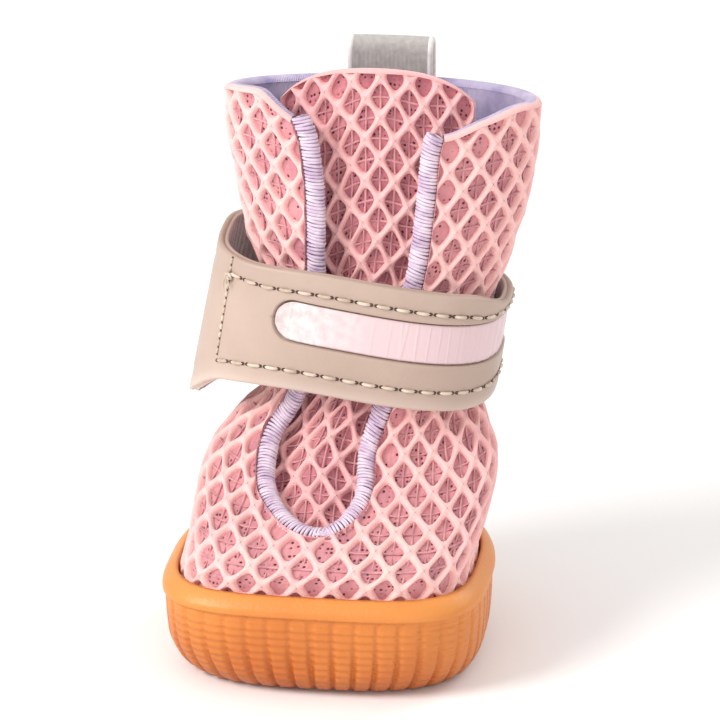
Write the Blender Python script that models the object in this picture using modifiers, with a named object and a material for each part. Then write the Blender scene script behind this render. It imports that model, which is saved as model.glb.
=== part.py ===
"""Dog boot: a mesh upper on a ribbed rubber cup sole, closed by an ankle strap with a reflective window.

Metres, +Z up. The boot stands on Z = 0 with its toe toward -Y and its pull loop at +Y.
"""

import math

import bmesh
import bpy
from mathutils import Vector

COLLECTION_NAME = "dog_boot"

# Clearance between curved pieces, and wall of the padded mesh
GAP = 0.0003
UPPER_WALL = 0.0020

# Sole
SOLE_LENGTH = 0.0490
BALL_WIDTH = 0.0434
HEEL_WIDTH = 0.0375
BALL_FORWARD = 0.0040
SOLE_RIM_HEIGHT = 0.0141
SOLE_STEP_HEIGHT = 0.0116
SOLE_STEP_DEPTH = 0.0005
SOLE_FLOOR_HEIGHT = 0.0045
SOLE_WALL = 0.0024
SOLE_WALL_SHARE = 0.45
SOLE_LIP = 0.0022
SOLE_LIP_LAND = 0.0002
SOLE_EDGE_INSET = 0.0027
TREAD_SHARE = 0.62
TOE_SPRING = 0.0016
TOE_SPRING_START_SHARE = 0.55
ARCH_LIFT = 0.0007
ARCH_MIDDLE_SHARE = 0.08
ARCH_REACH_SHARE = 0.28
RIB_COUNT = 52
COLUMNS_PER_RIB = 3
RIB_NOTCH_DEPTH = 0.0007
RIB_NOTCH_LIFT = 0.0007

# Insole
INSOLE_THICKNESS = 0.0018

# Upper
ANKLE_HEIGHT = 0.0410
COLLAR_HEIGHT = 0.0724
ANKLE_WIDTH = 0.0294
ANKLE_DEPTH = 0.0262
COLLAR_WIDTH = 0.0416
COLLAR_DEPTH = 0.0215
SHAFT_SET_BACK = SOLE_LENGTH * 0.1633
SHAFT_LEAN = 0.0049
COLLAR_LIFT = 0.0028

# Throat, its edging and the tongue
THROAT_WIDTH = 0.0160
THROAT_LOW_HEIGHT = 0.0206
EDGING_RADIUS = 0.0012
TONGUE_THICKNESS = 0.0020
TONGUE_OVERLAP = 0.0030
TONGUE_RISE = 0.0050
TONGUE_CROWN = 0.0017
TONGUE_TUCK = 0.0030
TONGUE_ROOM = 0.0009

# Strap, its window and the reflective strip
STRAP_HEIGHT = 0.0163
STRAP_THICKNESS = 0.0014
STRAP_ROOM = 0.0037
STRAP_FRONT_ROOM = 0.0006
STRAP_MIDDLE_HEIGHT = 0.0440
STRAP_TILT = math.radians(8.5)
STRAP_SHIFT = -0.0028
STRAP_FLARE = 0.0012
WINDOW_HEIGHT = 0.0058
WINDOW_RISE = 0.0011
WINDOW_DEPTH = 0.0008
WINDOW_START = math.radians(-22.0)
WINDOW_END = math.radians(112.0)
WINDOW_TIP_SHARE = 0.12
REFLECTIVE_THICKNESS = 0.0003

# Pull loop
LOOP_WIDTH = 0.0106
LOOP_RISE = 0.0062
LOOP_THICKNESS = 0.0007
LOOP_OUTER_LEG = 0.0120
LOOP_INNER_LEG = 0.0080

# Throat cutter, as shares of the wall that it passes
CUTTER_OUT_SHARE = 2.5
CUTTER_IN_SHARE = 1.8

# Facets, search steps and finishing
UPPER_SIDES = 52
THROAT_ROWS = 27
EDGING_SIDES = 8
TONGUE_COLUMNS = 13
TONGUE_ROWS = 16
STRAP_SIDES = 56
STRAP_ROWS = 4
WINDOW_COLUMNS = 26
LOOP_COLUMNS = 5
LOOP_FOLD_STEPS = 8
LOOP_OUTER_STEPS = 4
LOOP_INNER_STEPS = 3
OUTLINE_STEPS_PER_SIDE = 6
SEARCH_STEPS = 36
CREASE_ANGLE = math.radians(40.0)
WELD_DISTANCE = 0.00001

# Colours, roughness
COLOURS = {
    "outsole": ((0.76, 0.33, 0.09, 1.0), 0.55),
    "insole": ((0.60, 0.52, 0.72, 1.0), 0.90),
    "upper": ((0.90, 0.52, 0.50, 1.0), 0.85),
    "throat_edging": ((0.58, 0.48, 0.68, 1.0), 0.80),
    "tongue": ((0.88, 0.48, 0.48, 1.0), 0.85),
    "strap": ((0.60, 0.46, 0.38, 1.0), 0.50),
    "reflective_strip": ((0.80, 0.62, 0.62, 1.0), 0.30),
    "pull_loop": ((0.50, 0.46, 0.44, 1.0), 0.65),
}

# Sole side below the step: height as a share of the step height, inset as a share of the edge inset,
# rib as a share of the notch depth, squareness of the toe outline
SOLE_SIDE = [
    {"height": 0.00, "inset": 1.00, "rib": 1.0, "square": 2.60},
    {"height": 0.08, "inset": 0.58, "rib": 1.0, "square": 2.75},
    {"height": 0.25, "inset": 0.24, "rib": 1.0, "square": 3.10},
    {"height": 0.50, "inset": 0.06, "rib": 0.8, "square": 3.60},
    {"height": 0.90, "inset": 0.00, "rib": 0.5, "square": 3.85},
]

# Sole rim band: height as a share of the way from step to rim, inset as a share of the lip
SOLE_BAND = [
    {"height": 0.02, "inset": 0.05},
    {"height": 0.30, "inset": 0.08},
    {"height": 0.75, "inset": 0.45},
    {"height": 0.95, "inset": 0.75},
]
TOE_SQUARE = 3.9
HEEL_SQUARE = 2.4

# Upper from the sole's rim to the ankle, each as a share of the way between those two sections: rise in
# height, narrowing in width, instep at the front, heel at the back, shift of the widest line, lean to the side
FOOT_TO_ANKLE = [
    {"rise": 0.00, "width": 0.00, "front": 0.00, "back": 0.00, "shift": 0.00, "lean": 0.00, "square": 0.00},
    {"rise": 0.07, "width": 0.04, "front": -0.03, "back": -0.11, "shift": 0.00, "lean": 0.07, "square": 0.05},
    {"rise": 0.14, "width": 0.02, "front": 0.01, "back": -0.33, "shift": 0.02, "lean": 0.18, "square": 0.10},
    {"rise": 0.20, "width": -0.02, "front": 0.11, "back": -0.44, "shift": 0.05, "lean": 0.24, "square": 0.20},
    {"rise": 0.26, "width": -0.06, "front": 0.30, "back": -0.44, "shift": 0.10, "lean": 0.28, "square": 0.35},
    {"rise": 0.34, "width": -0.10, "front": 0.57, "back": -0.33, "shift": 0.22, "lean": 0.33, "square": 0.60},
    {"rise": 0.44, "width": -0.01, "front": 0.79, "back": -0.02, "shift": 0.42, "lean": 0.40, "square": 0.80},
    {"rise": 0.56, "width": 0.47, "front": 0.93, "back": 0.50, "shift": 0.68, "lean": 0.50, "square": 1.00},
    {"rise": 0.67, "width": 0.96, "front": 0.98, "back": 0.90, "shift": 0.86, "lean": 0.70, "square": 1.00},
    {"rise": 0.82, "width": 1.04, "front": 1.00, "back": 1.00, "shift": 0.97, "lean": 0.90, "square": 1.00},
    {"rise": 1.00, "width": 1.00, "front": 1.00, "back": 1.00, "shift": 1.00, "lean": 0.96, "square": 1.00},
]

# Shaft from the ankle to the collar, as shares of the way between those two sections
ANKLE_TO_COLLAR = [
    {"rise": 0.00, "width": 0.00, "depth": 0.00, "lean": 0.96},
    {"rise": 0.16, "width": 0.04, "depth": 0.08, "lean": 0.99},
    {"rise": 0.31, "width": 0.32, "depth": 0.26, "lean": 1.02},
    {"rise": 0.48, "width": 0.60, "depth": 0.50, "lean": 1.03},
    {"rise": 0.69, "width": 0.84, "depth": 0.74, "lean": 1.02},
    {"rise": 0.86, "width": 0.97, "depth": 0.92, "lean": 1.00},
    {"rise": 1.00, "width": 1.00, "depth": 1.00, "lean": 1.00},
]
ANKLE_SQUARE = 2.1

# Collar's rim, by turn from the front in degrees: rise above its plain height as shares of the rim's lift
COLLAR_RIM = [
    {"turn": -180, "lift": 0.00},
    {"turn": -130, "lift": 0.10},
    {"turn": -90, "lift": 0.30},
    {"turn": -65, "lift": 0.62},
    {"turn": -48, "lift": 0.72},
    {"turn": -34, "lift": -0.12},
    {"turn": -20, "lift": -0.90},
    {"turn": 0, "lift": -1.20},
    {"turn": 26, "lift": -0.98},
    {"turn": 43, "lift": -0.34},
    {"turn": 65, "lift": 0.12},
    {"turn": 90, "lift": 0.00},
    {"turn": 180, "lift": 0.00},
]

# Throat, from its low end to the collar: rise as a share of that height, its left and right edges
# from the shaft's middle as shares of the throat's width
THROAT_EDGES = [
    {"rise": 0.00, "left": -0.56, "right": 0.34},
    {"rise": 0.07, "left": -0.70, "right": 0.29},
    {"rise": 0.15, "left": -0.76, "right": 0.24},
    {"rise": 0.28, "left": -0.68, "right": 0.26},
    {"rise": 0.44, "left": -0.62, "right": 0.32},
    {"rise": 0.61, "left": -0.55, "right": 0.45},
    {"rise": 0.80, "left": -0.56, "right": 0.52},
    {"rise": 0.92, "left": -0.60, "right": 0.56},
    {"rise": 0.98, "left": -0.67, "right": 0.64},
    {"rise": 1.04, "left": -0.86, "right": 0.86},
    {"rise": 1.10, "left": -1.10, "right": 1.10},
]
THROAT_ROUND_SHARE = 0.09
EDGING_LEFT_TOP_SHARE = 0.995
EDGING_RIGHT_TOP_SHARE = 0.940

# Tongue, from its tucked end to its top: setback behind the wall in shares of the wall,
# crown and overlap under the flaps as shares of the tongue's
TONGUE_SECTIONS = [
    {"rise": 0.00, "setback": 0.1, "crown": 0.0, "overlap": 1.0},
    {"rise": 0.09, "setback": 0.1, "crown": 0.1, "overlap": 1.0},
    {"rise": 0.20, "setback": 0.0, "crown": 1.0, "overlap": 1.0},
    {"rise": 0.35, "setback": 0.1, "crown": 0.9, "overlap": 1.0},
    {"rise": 0.50, "setback": 0.3, "crown": 0.5, "overlap": 1.0},
    {"rise": 0.75, "setback": 0.6, "crown": 0.4, "overlap": 1.4},
    {"rise": 1.00, "setback": 1.1, "crown": 0.3, "overlap": 1.9},
]
TONGUE_DOME_SHARE = 0.018
TONGUE_TOP_SHARE = 0.92

# Strap, by turn round the ankle in degrees from the front, positive to the side it slopes down to:
# top and bottom edges beyond its plain height as shares of it, flare of the bottom edge
STRAP_EDGES = [
    {"turn": -180, "top": -0.10, "bottom": 0.30, "flare": 0.00},
    {"turn": -135, "top": -0.04, "bottom": 0.46, "flare": 0.60},
    {"turn": -100, "top": 0.00, "bottom": 0.54, "flare": 1.00},
    {"turn": -75, "top": -0.06, "bottom": 0.36, "flare": 0.85},
    {"turn": -45, "top": -0.06, "bottom": 0.10, "flare": 0.20},
    {"turn": 0, "top": 0.00, "bottom": 0.00, "flare": 0.00},
    {"turn": 45, "top": -0.02, "bottom": 0.00, "flare": 0.00},
    {"turn": 90, "top": -0.16, "bottom": -0.02, "flare": 0.00},
    {"turn": 135, "top": -0.16, "bottom": 0.08, "flare": 0.00},
    {"turn": 180, "top": -0.10, "bottom": 0.30, "flare": 0.00},
]
STRAP_FRONT_SQUARE = 2.8
STRAP_BACK_SQUARE = 2.4


def mix(start, end, share):
    """The value a share of the way from start to end."""
    return start + (end - start) * share


def read_table(table, key, column, value):
    """A smooth curve through one column of a table, held flat past its ends."""
    rows = [(row[key], row[column]) for row in table]
    if value <= rows[0][0]:
        return rows[0][1]
    if value >= rows[-1][0]:
        return rows[-1][1]
    steps = [(b[1] - a[1]) / (b[0] - a[0]) for a, b in zip(rows, rows[1:])]
    slopes = [steps[0]]
    for before, after in zip(steps, steps[1:]):
        slopes.append(0.0 if before * after <= 0.0 else 2.0 * before * after / (before + after))
    slopes.append(steps[-1])
    index = max(i for i, row in enumerate(rows[:-1]) if row[0] <= value)
    span = rows[index + 1][0] - rows[index][0]
    t = (value - rows[index][0]) / span
    start_part = (1.0 + 2.0 * t) * (1.0 - t) ** 2 * rows[index][1]
    end_part = t * t * (3.0 - 2.0 * t) * rows[index + 1][1]
    slope_part = span * (t * (1.0 - t) ** 2 * slopes[index] + t * t * (t - 1.0) * slopes[index + 1])
    return start_part + end_part + slope_part


def signed_power(value, power):
    return math.copysign(abs(value) ** power, value)


def egg_point(turn, half_width, front, back, widest, front_square, back_square):
    """A point of a closed outline: turn 0 at the front, growing toward +X."""
    forward = math.cos(turn)
    square = front_square if forward > 0.0 else back_square
    reach = widest - front if forward > 0.0 else back - widest
    x = half_width * signed_power(math.sin(turn), 2.0 / square)
    y = widest - reach * signed_power(forward, 2.0 / square)
    return x, y


def sole_outline(turn, inset, square=TOE_SQUARE):
    """The sole's plan outline, narrowing from the ball to the heel."""
    half_length = SOLE_LENGTH / 2.0
    half_width = BALL_WIDTH / 2.0 - inset
    x, y = egg_point(turn, half_width, inset - half_length, half_length - inset, -BALL_FORWARD, square, HEEL_SQUARE)
    behind = max(0.0, (y + BALL_FORWARD) / (half_length + BALL_FORWARD))
    heel_share = mix(1.0, HEEL_WIDTH / BALL_WIDTH, behind * behind * (3.0 - 2.0 * behind))
    return x * heel_share, y


def even_turns(count, inset, square):
    """Turns that place points evenly along the sole's outline, starting at the toe."""
    fine = count * OUTLINE_STEPS_PER_SIDE
    places = [sole_outline(math.tau * step / fine, inset, square) for step in range(fine + 1)]
    lengths = [0.0]
    for before, after in zip(places, places[1:]):
        lengths.append(lengths[-1] + math.dist(before, after))
    turns = []
    step = 0
    for index in range(count):
        wanted = lengths[-1] * index / count
        while lengths[step + 1] < wanted:
            step += 1
        share = (wanted - lengths[step]) / (lengths[step + 1] - lengths[step])
        turns.append(math.tau * (step + share) / fine)
    return turns


def tread_lift(y):
    """How far the underside is off the floor: toe spring at the front, arch at the waist."""
    along = y / (SOLE_LENGTH / 2.0)
    toe_share = max(0.0, (-along - TOE_SPRING_START_SHARE) / (1.0 - TOE_SPRING_START_SHARE))
    waist_share = max(0.0, 1.0 - abs(along - ARCH_MIDDLE_SHARE) / ARCH_REACH_SHARE)
    arch = ARCH_LIFT * waist_share * waist_share * (3.0 - 2.0 * waist_share)
    return TOE_SPRING * toe_share * toe_share + arch


def make_material(name):
    colour, roughness = COLOURS[name]
    material = bpy.data.materials.new(name)
    material.use_nodes = True
    shader = material.node_tree.nodes["Principled BSDF"]
    shader.inputs["Base Color"].default_value = colour
    shader.inputs["Roughness"].default_value = roughness
    shader.inputs["Metallic"].default_value = 0.0
    material.diffuse_color = colour
    return material


def make_object(name, points, faces, collection):
    """A mesh object from points and faces."""
    mesh = bpy.data.meshes.new(name)
    mesh.from_pydata(points, [], faces)
    mesh.update()
    obj = bpy.data.objects.new(name, mesh)
    collection.objects.link(obj)
    return obj


def face_outward(obj):
    work = bmesh.new()
    work.from_mesh(obj.data)
    bmesh.ops.recalc_face_normals(work, faces=work.faces)
    work.to_mesh(obj.data)
    work.free()


def finish(obj):
    """Gives a part its own material and smooth shading."""
    obj.data.materials.append(make_material(obj.name))
    obj.data.shade_smooth()
    obj.data.set_sharp_from_angle(angle=CREASE_ANGLE)


def join_rings(ring_count, sides, closed=True):
    """Quads between rings of points stored one after another."""
    faces = []
    for ring in range(ring_count - 1):
        for side in range(sides if closed else sides - 1):
            after = (side + 1) % sides
            low = ring * sides
            high = low + sides
            faces.append((low + side, low + after, high + after, high + side))
    return faces


def solidify(obj, thickness, offset):
    modifier = obj.modifiers.new("wall", "SOLIDIFY")
    modifier.thickness = thickness
    modifier.offset = offset
    modifier.use_even_offset = True
    modifier.use_quality_normals = True


def cut(obj, cutter):
    modifier = obj.modifiers.new("cut_" + cutter.name, "BOOLEAN")
    modifier.operation = "DIFFERENCE"
    modifier.solver = "EXACT"
    modifier.object = cutter


def hide_cutter(cutter):
    cutter.hide_render = True
    cutter.display_type = "WIRE"


def build_outsole(parts):
    """Cup sole: one loft from the middle of the tread, up the ribbed side, over the lip and down inside."""
    sides = RIB_COUNT * COLUMNS_PER_RIB
    points = []

    def add_ring(height, inset, rib, square, on_tread, notch_lift=0.0):
        for side, turn in enumerate(even_turns(sides, inset, square)):
            notch = side % COLUMNS_PER_RIB == 0
            depth = inset + (RIB_NOTCH_DEPTH * rib if notch else 0.0)
            x, y = sole_outline(turn, depth, square)
            lift = tread_lift(y) * on_tread
            points.append((x, y, height + lift + (notch_lift if notch else 0.0)))

    add_ring(0.0, BALL_WIDTH / 2.0 * TREAD_SHARE, 0.0, SOLE_SIDE[0]["square"], 1.0)
    for row in SOLE_SIDE:
        inset = SOLE_STEP_DEPTH + SOLE_EDGE_INSET * row["inset"]
        notch_lift = RIB_NOTCH_LIFT if row["height"] == 0.0 else 0.0
        add_ring(SOLE_STEP_HEIGHT * row["height"], inset, row["rib"], row["square"], 1.0 - row["height"], notch_lift)
    for row in SOLE_BAND:
        height = mix(SOLE_STEP_HEIGHT, SOLE_RIM_HEIGHT, row["height"])
        add_ring(height, SOLE_LIP * row["inset"], 0.0, TOE_SQUARE, 0.0)
    add_ring(SOLE_RIM_HEIGHT, SOLE_LIP - SOLE_LIP_LAND, 0.0, TOE_SQUARE, 0.0)
    add_ring(SOLE_RIM_HEIGHT, SOLE_LIP, 0.0, TOE_SQUARE, 0.0)
    add_ring(cup_wall_height(), SOLE_WALL, 0.0, TOE_SQUARE, 0.0)
    add_ring(SOLE_FLOOR_HEIGHT, SOLE_WALL, 0.0, TOE_SQUARE, 0.0)
    rings = len(points) // sides
    faces = join_rings(rings, sides)
    tread_middle = len(points)
    points.append((0.0, 0.0, tread_lift(0.0)))
    floor_middle = len(points)
    points.append((0.0, 0.0, SOLE_FLOOR_HEIGHT))
    last = (rings - 1) * sides
    for side in range(sides):
        after = (side + 1) % sides
        faces.append((tread_middle, after, side))
        faces.append((floor_middle, last + side, last + after))
    obj = make_object("outsole", points, faces, parts)
    face_outward(obj)
    finish(obj)


def cup_wall_height():
    """Top of the cup's upright inner wall, above which it thins toward the lip."""
    return mix(SOLE_FLOOR_HEIGHT, SOLE_RIM_HEIGHT, SOLE_WALL_SHARE)


def cup_inset(height):
    """Inset of the cup's inner wall at a height."""
    low = cup_wall_height()
    share = min(1.0, max(0.0, (height - low) / (SOLE_RIM_HEIGHT - low)))
    return mix(SOLE_WALL, SOLE_LIP, share)


def build_insole(parts):
    sides = UPPER_SIDES
    inset = SOLE_WALL + GAP + (UPPER_WALL + 2.0 * GAP) * BALL_WIDTH / HEEL_WIDTH
    low = SOLE_FLOOR_HEIGHT + GAP
    points = []
    for height in (low, low + INSOLE_THICKNESS):
        for side in range(sides):
            x, y = sole_outline(math.tau * side / sides, inset)
            points.append((x, y, height))
    faces = join_rings(2, sides)
    faces.append(tuple(range(sides))[::-1])
    faces.append(tuple(range(sides, 2 * sides)))
    obj = make_object("insole", points, faces, parts)
    face_outward(obj)
    finish(obj)


def upper_section(height):
    """The upper's outer section at a height: lean, half width, front, back, widest line, squareness."""
    half_length = SOLE_LENGTH / 2.0
    inset = cup_inset(height) + GAP
    foot_width = BALL_WIDTH / 2.0 - inset
    foot_front = inset - half_length
    foot_back = half_length - inset
    ankle_front = SHAFT_SET_BACK - ANKLE_DEPTH / 2.0
    ankle_back = SHAFT_SET_BACK + ANKLE_DEPTH / 2.0
    if height <= ANKLE_HEIGHT:
        rise = (height - SOLE_RIM_HEIGHT) / (ANKLE_HEIGHT - SOLE_RIM_HEIGHT)
        share = {key: read_table(FOOT_TO_ANKLE, "rise", key, rise) for key in FOOT_TO_ANKLE[0]}
        return {
            "lean": SHAFT_LEAN * share["lean"],
            "half_width": mix(foot_width, ANKLE_WIDTH / 2.0, share["width"]),
            "front": mix(foot_front, ankle_front, share["front"]),
            "back": mix(foot_back, ankle_back, share["back"]),
            "widest": mix(-BALL_FORWARD, SHAFT_SET_BACK, share["shift"]),
            "front_square": mix(TOE_SQUARE, ANKLE_SQUARE, share["square"]),
            "back_square": mix(HEEL_SQUARE, ANKLE_SQUARE, share["square"]),
            "heel": mix(HEEL_WIDTH / BALL_WIDTH, 1.0, share["shift"]),
        }
    rise = (height - ANKLE_HEIGHT) / (COLLAR_HEIGHT - ANKLE_HEIGHT)
    share = {key: read_table(ANKLE_TO_COLLAR, "rise", key, rise) for key in ANKLE_TO_COLLAR[0]}
    half_depth = mix(ANKLE_DEPTH, COLLAR_DEPTH, share["depth"]) / 2.0
    return {
        "lean": SHAFT_LEAN * share["lean"],
        "half_width": mix(ANKLE_WIDTH, COLLAR_WIDTH, share["width"]) / 2.0,
        "front": SHAFT_SET_BACK - half_depth,
        "back": SHAFT_SET_BACK + half_depth,
        "widest": SHAFT_SET_BACK,
        "front_square": ANKLE_SQUARE,
        "back_square": ANKLE_SQUARE,
        "heel": 1.0,
    }


def upper_point(turn, height):
    """A point of the upper's outer face."""
    section = upper_section(height)
    widest = section["widest"]
    back = section["back"]
    x, y = egg_point(
        turn,
        section["half_width"],
        section["front"],
        back,
        widest,
        section["front_square"],
        section["back_square"],
    )
    behind = max(0.0, (y - widest) / (back - widest))
    x *= mix(1.0, section["heel"], behind * behind * (3.0 - 2.0 * behind))
    return x + section["lean"], y, height


def front_face(x, height):
    """The Y of the upper's outer face at its front, at a sideways place and a height."""
    section = upper_section(height)
    reach = section["widest"] - section["front"]
    square = section["front_square"]
    share = min(1.0, abs(x - section["lean"]) / section["half_width"])
    return section["widest"] - reach * (1.0 - share ** square) ** (1.0 / square)


def on_front(x, climb):
    """The point of the front's outer face at a sideways place and a climb, which is Y + Z."""
    low = SOLE_FLOOR_HEIGHT
    high = COLLAR_HEIGHT + SOLE_LENGTH
    for _ in range(SEARCH_STEPS):
        middle = (low + high) / 2.0
        if front_face(x, middle) + middle < climb:
            low = middle
        else:
            high = middle
    return Vector((x, climb - low, low))


def front_outward(x, climb):
    """The direction square to the front's outer face, away from the shaft."""
    step = GAP
    across = on_front(x + step, climb) - on_front(x - step, climb)
    upward = on_front(x, climb + step) - on_front(x, climb - step)
    return across.cross(upward).normalized()


def under_front(x, climb, depth):
    """The point of the front at a sideways place and a climb, a depth square under its outer face."""
    return on_front(x, climb) - front_outward(x, climb) * depth


def collar_lift(turn):
    """How much higher the collar's rim is at a turn than at its back."""
    degrees = math.degrees(turn)
    if degrees > 180.0:
        degrees -= 360.0
    return COLLAR_LIFT * read_table(COLLAR_RIM, "turn", "lift", degrees)


def throat_edge(rise, side):
    """Sideways place of one edge of the throat, rounded to a U at its low end."""
    height = mix(THROAT_LOW_HEIGHT, COLLAR_HEIGHT, rise)
    middle = upper_section(height)["lean"]
    left = read_table(THROAT_EDGES, "rise", "left", rise)
    right = read_table(THROAT_EDGES, "rise", "right", rise)
    centre = (left + right) / 2.0
    half = (right - left) / 2.0
    if rise < THROAT_ROUND_SHARE:
        half *= math.sqrt(max(0.0, 1.0 - (1.0 - rise / THROAT_ROUND_SHARE) ** 2))
    return middle + THROAT_WIDTH * (centre + side * half), height


def throat_rises():
    """Heights up the throat, closer together round the U."""
    rises = []
    round_rows = THROAT_ROWS // 3
    for row in range(round_rows + 1):
        rises.append(THROAT_ROUND_SHARE * (1.0 - math.cos(math.pi / 2.0 * row / round_rows)))
    top = THROAT_EDGES[-1]["rise"]
    for row in range(1, THROAT_ROWS - round_rows + 1):
        rises.append(mix(THROAT_ROUND_SHARE, top, row / (THROAT_ROWS - round_rows)))
    return rises


def throat_climb(rise, side):
    """A point of the throat's edge as its sideways place and climb."""
    x, height = throat_edge(rise, side)
    return x, front_face(x, height) + height


def throat_path():
    """The throat's edge from the top of one flap round the U to the other, as sideways place and climb."""
    left = [rise for rise in throat_rises() if rise < EDGING_LEFT_TOP_SHARE] + [EDGING_LEFT_TOP_SHARE]
    right = [rise for rise in throat_rises() if rise < EDGING_RIGHT_TOP_SHARE] + [EDGING_RIGHT_TOP_SHARE]
    left_side = [throat_climb(rise, -1.0) for rise in left[::-1]]
    return left_side + [throat_climb(rise, 1.0) for rise in right[1:]]


def build_throat_cutter(cutters):
    """A wedge through the front wall, square to the wall along both edges of the throat."""
    reach_out = UPPER_WALL * CUTTER_OUT_SHARE
    reach_in = UPPER_WALL * CUTTER_IN_SHARE
    points = []
    rises = throat_rises()
    rises.append(rises[-1] + THROAT_ROUND_SHARE)
    for rise in rises:
        ends = []
        for side in (-1.0, 1.0):
            x, climb = throat_climb(rise, side)
            if rise == rises[0]:
                x += side * GAP
            ends.append((on_front(x, climb), front_outward(x, climb)))
        points += [place + outward * reach_out for place, outward in ends]
        points += [place - outward * reach_in for place, outward in ends[::-1]]
    faces = join_rings(len(rises), 4)
    faces.append((3, 2, 1, 0))
    last = len(points) - 4
    faces.append((last, last + 1, last + 2, last + 3))
    cutter = make_object("throat_cutter", points, faces, cutters)
    face_outward(cutter)
    hide_cutter(cutter)
    return cutter


def build_upper(parts, cutters):
    """The hollow mesh sock: an open loft with a wall, cut open at the throat."""
    foot_heights = [mix(SOLE_RIM_HEIGHT, ANKLE_HEIGHT, row["rise"]) for row in FOOT_TO_ANKLE]
    shaft_heights = [mix(ANKLE_HEIGHT, COLLAR_HEIGHT, row["rise"]) for row in ANKLE_TO_COLLAR]
    cup_heights = [SOLE_FLOOR_HEIGHT + GAP, cup_wall_height()]
    heights = cup_heights + foot_heights + shaft_heights[1:]
    points = []
    for height in heights:
        for side in range(UPPER_SIDES):
            turn = math.tau * side / UPPER_SIDES
            level = height
            if height > ANKLE_HEIGHT:
                share = (height - ANKLE_HEIGHT) / (COLLAR_HEIGHT - ANKLE_HEIGHT)
                level = height + collar_lift(turn) * share
            points.append(upper_point(turn, level))
    faces = join_rings(len(heights), UPPER_SIDES)
    obj = make_object("upper", points, faces, parts)
    solidify(obj, UPPER_WALL, -1.0)
    cut(obj, build_throat_cutter(cutters))
    finish(obj)


def build_edging(parts):
    """The overlocked bead along the throat, clear of the wall's cut edge."""
    path = throat_path()
    places = [on_front(x, climb) for x, climb in path]
    outwards = [front_outward(x, climb) for x, climb in path]
    centres = []
    for index, place in enumerate(places):
        before = places[max(0, index - 1)]
        after = places[min(len(places) - 1, index + 1)]
        inward = outwards[index].cross(after - before).normalized()
        centres.append(place - outwards[index] * (UPPER_WALL / 2.0) + inward * (EDGING_RADIUS + GAP))
    spline_data = bpy.data.curves.new("throat_edging", "CURVE")
    spline_data.dimensions = "3D"
    spline_data.bevel_depth = EDGING_RADIUS
    spline_data.bevel_resolution = EDGING_SIDES // 4
    spline_data.use_fill_caps = True
    spline = spline_data.splines.new("POLY")
    spline.points.add(len(centres) - 1)
    for point, place in zip(spline.points, centres):
        point.co = (*place, 1.0)
    guide = bpy.data.objects.new("throat_edging_curve", spline_data)
    parts.objects.link(guide)
    bpy.context.view_layer.update()
    evaluated = guide.evaluated_get(bpy.context.evaluated_depsgraph_get())
    mesh = bpy.data.meshes.new_from_object(evaluated)
    bpy.data.objects.remove(guide)
    work = bmesh.new()
    work.from_mesh(mesh)
    bmesh.ops.remove_doubles(work, verts=work.verts, dist=WELD_DISTANCE)
    bmesh.ops.recalc_face_normals(work, faces=work.faces)
    work.to_mesh(mesh)
    work.free()
    mesh.name = "throat_edging"
    mesh.materials.clear()
    obj = bpy.data.objects.new("throat_edging", mesh)
    parts.objects.link(obj)
    finish(obj)


def build_tongue(parts):
    """A padded sheet behind the throat, crowned between the edgings."""
    low_climb = throat_climb(0.0, 0.0)[1] - TONGUE_TUCK
    top_height = COLLAR_HEIGHT + TONGUE_RISE
    top_climb = top_height + front_face(upper_section(top_height)["lean"], top_height)
    points = []
    for row in range(TONGUE_ROWS):
        share = row / (TONGUE_ROWS - 1)
        setback = UPPER_WALL * read_table(TONGUE_SECTIONS, "rise", "setback", share)
        crown_height = TONGUE_CROWN * read_table(TONGUE_SECTIONS, "rise", "crown", share)
        level = on_front(upper_section(THROAT_LOW_HEIGHT)["lean"], mix(low_climb, top_climb, share)).z
        rise = (level - THROAT_LOW_HEIGHT) / (COLLAR_HEIGHT - THROAT_LOW_HEIGHT)
        rise = min(TONGUE_TOP_SHARE, max(THROAT_ROUND_SHARE, rise))
        left = throat_edge(rise, -1.0)[0]
        right = throat_edge(rise, 1.0)[0]
        open_half = (right - left) / 2.0
        half_width = open_half + TONGUE_OVERLAP * read_table(TONGUE_SECTIONS, "rise", "overlap", share)
        crown_half = open_half - 2.0 * EDGING_RADIUS - GAP
        for column in range(TONGUE_COLUMNS):
            across = 2.0 * column / (TONGUE_COLUMNS - 1) - 1.0
            climb = mix(low_climb, top_climb, share * (1.0 - TONGUE_DOME_SHARE * across ** 4))
            near = max(0.0, 1.0 - (across * half_width / crown_half) ** 2)
            depth = UPPER_WALL + TONGUE_ROOM + setback - crown_height * near * near
            points.append(under_front((left + right) / 2.0 + across * half_width, climb, depth))
    faces = join_rings(TONGUE_ROWS, TONGUE_COLUMNS, closed=False)
    obj = make_object("tongue", points, faces, parts)
    solidify(obj, TONGUE_THICKNESS, -1.0)
    finish(obj)


def strap_half_width():
    """Half the strap's width across its outer faces."""
    return ANKLE_WIDTH / 2.0 + STRAP_ROOM + STRAP_THICKNESS


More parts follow.
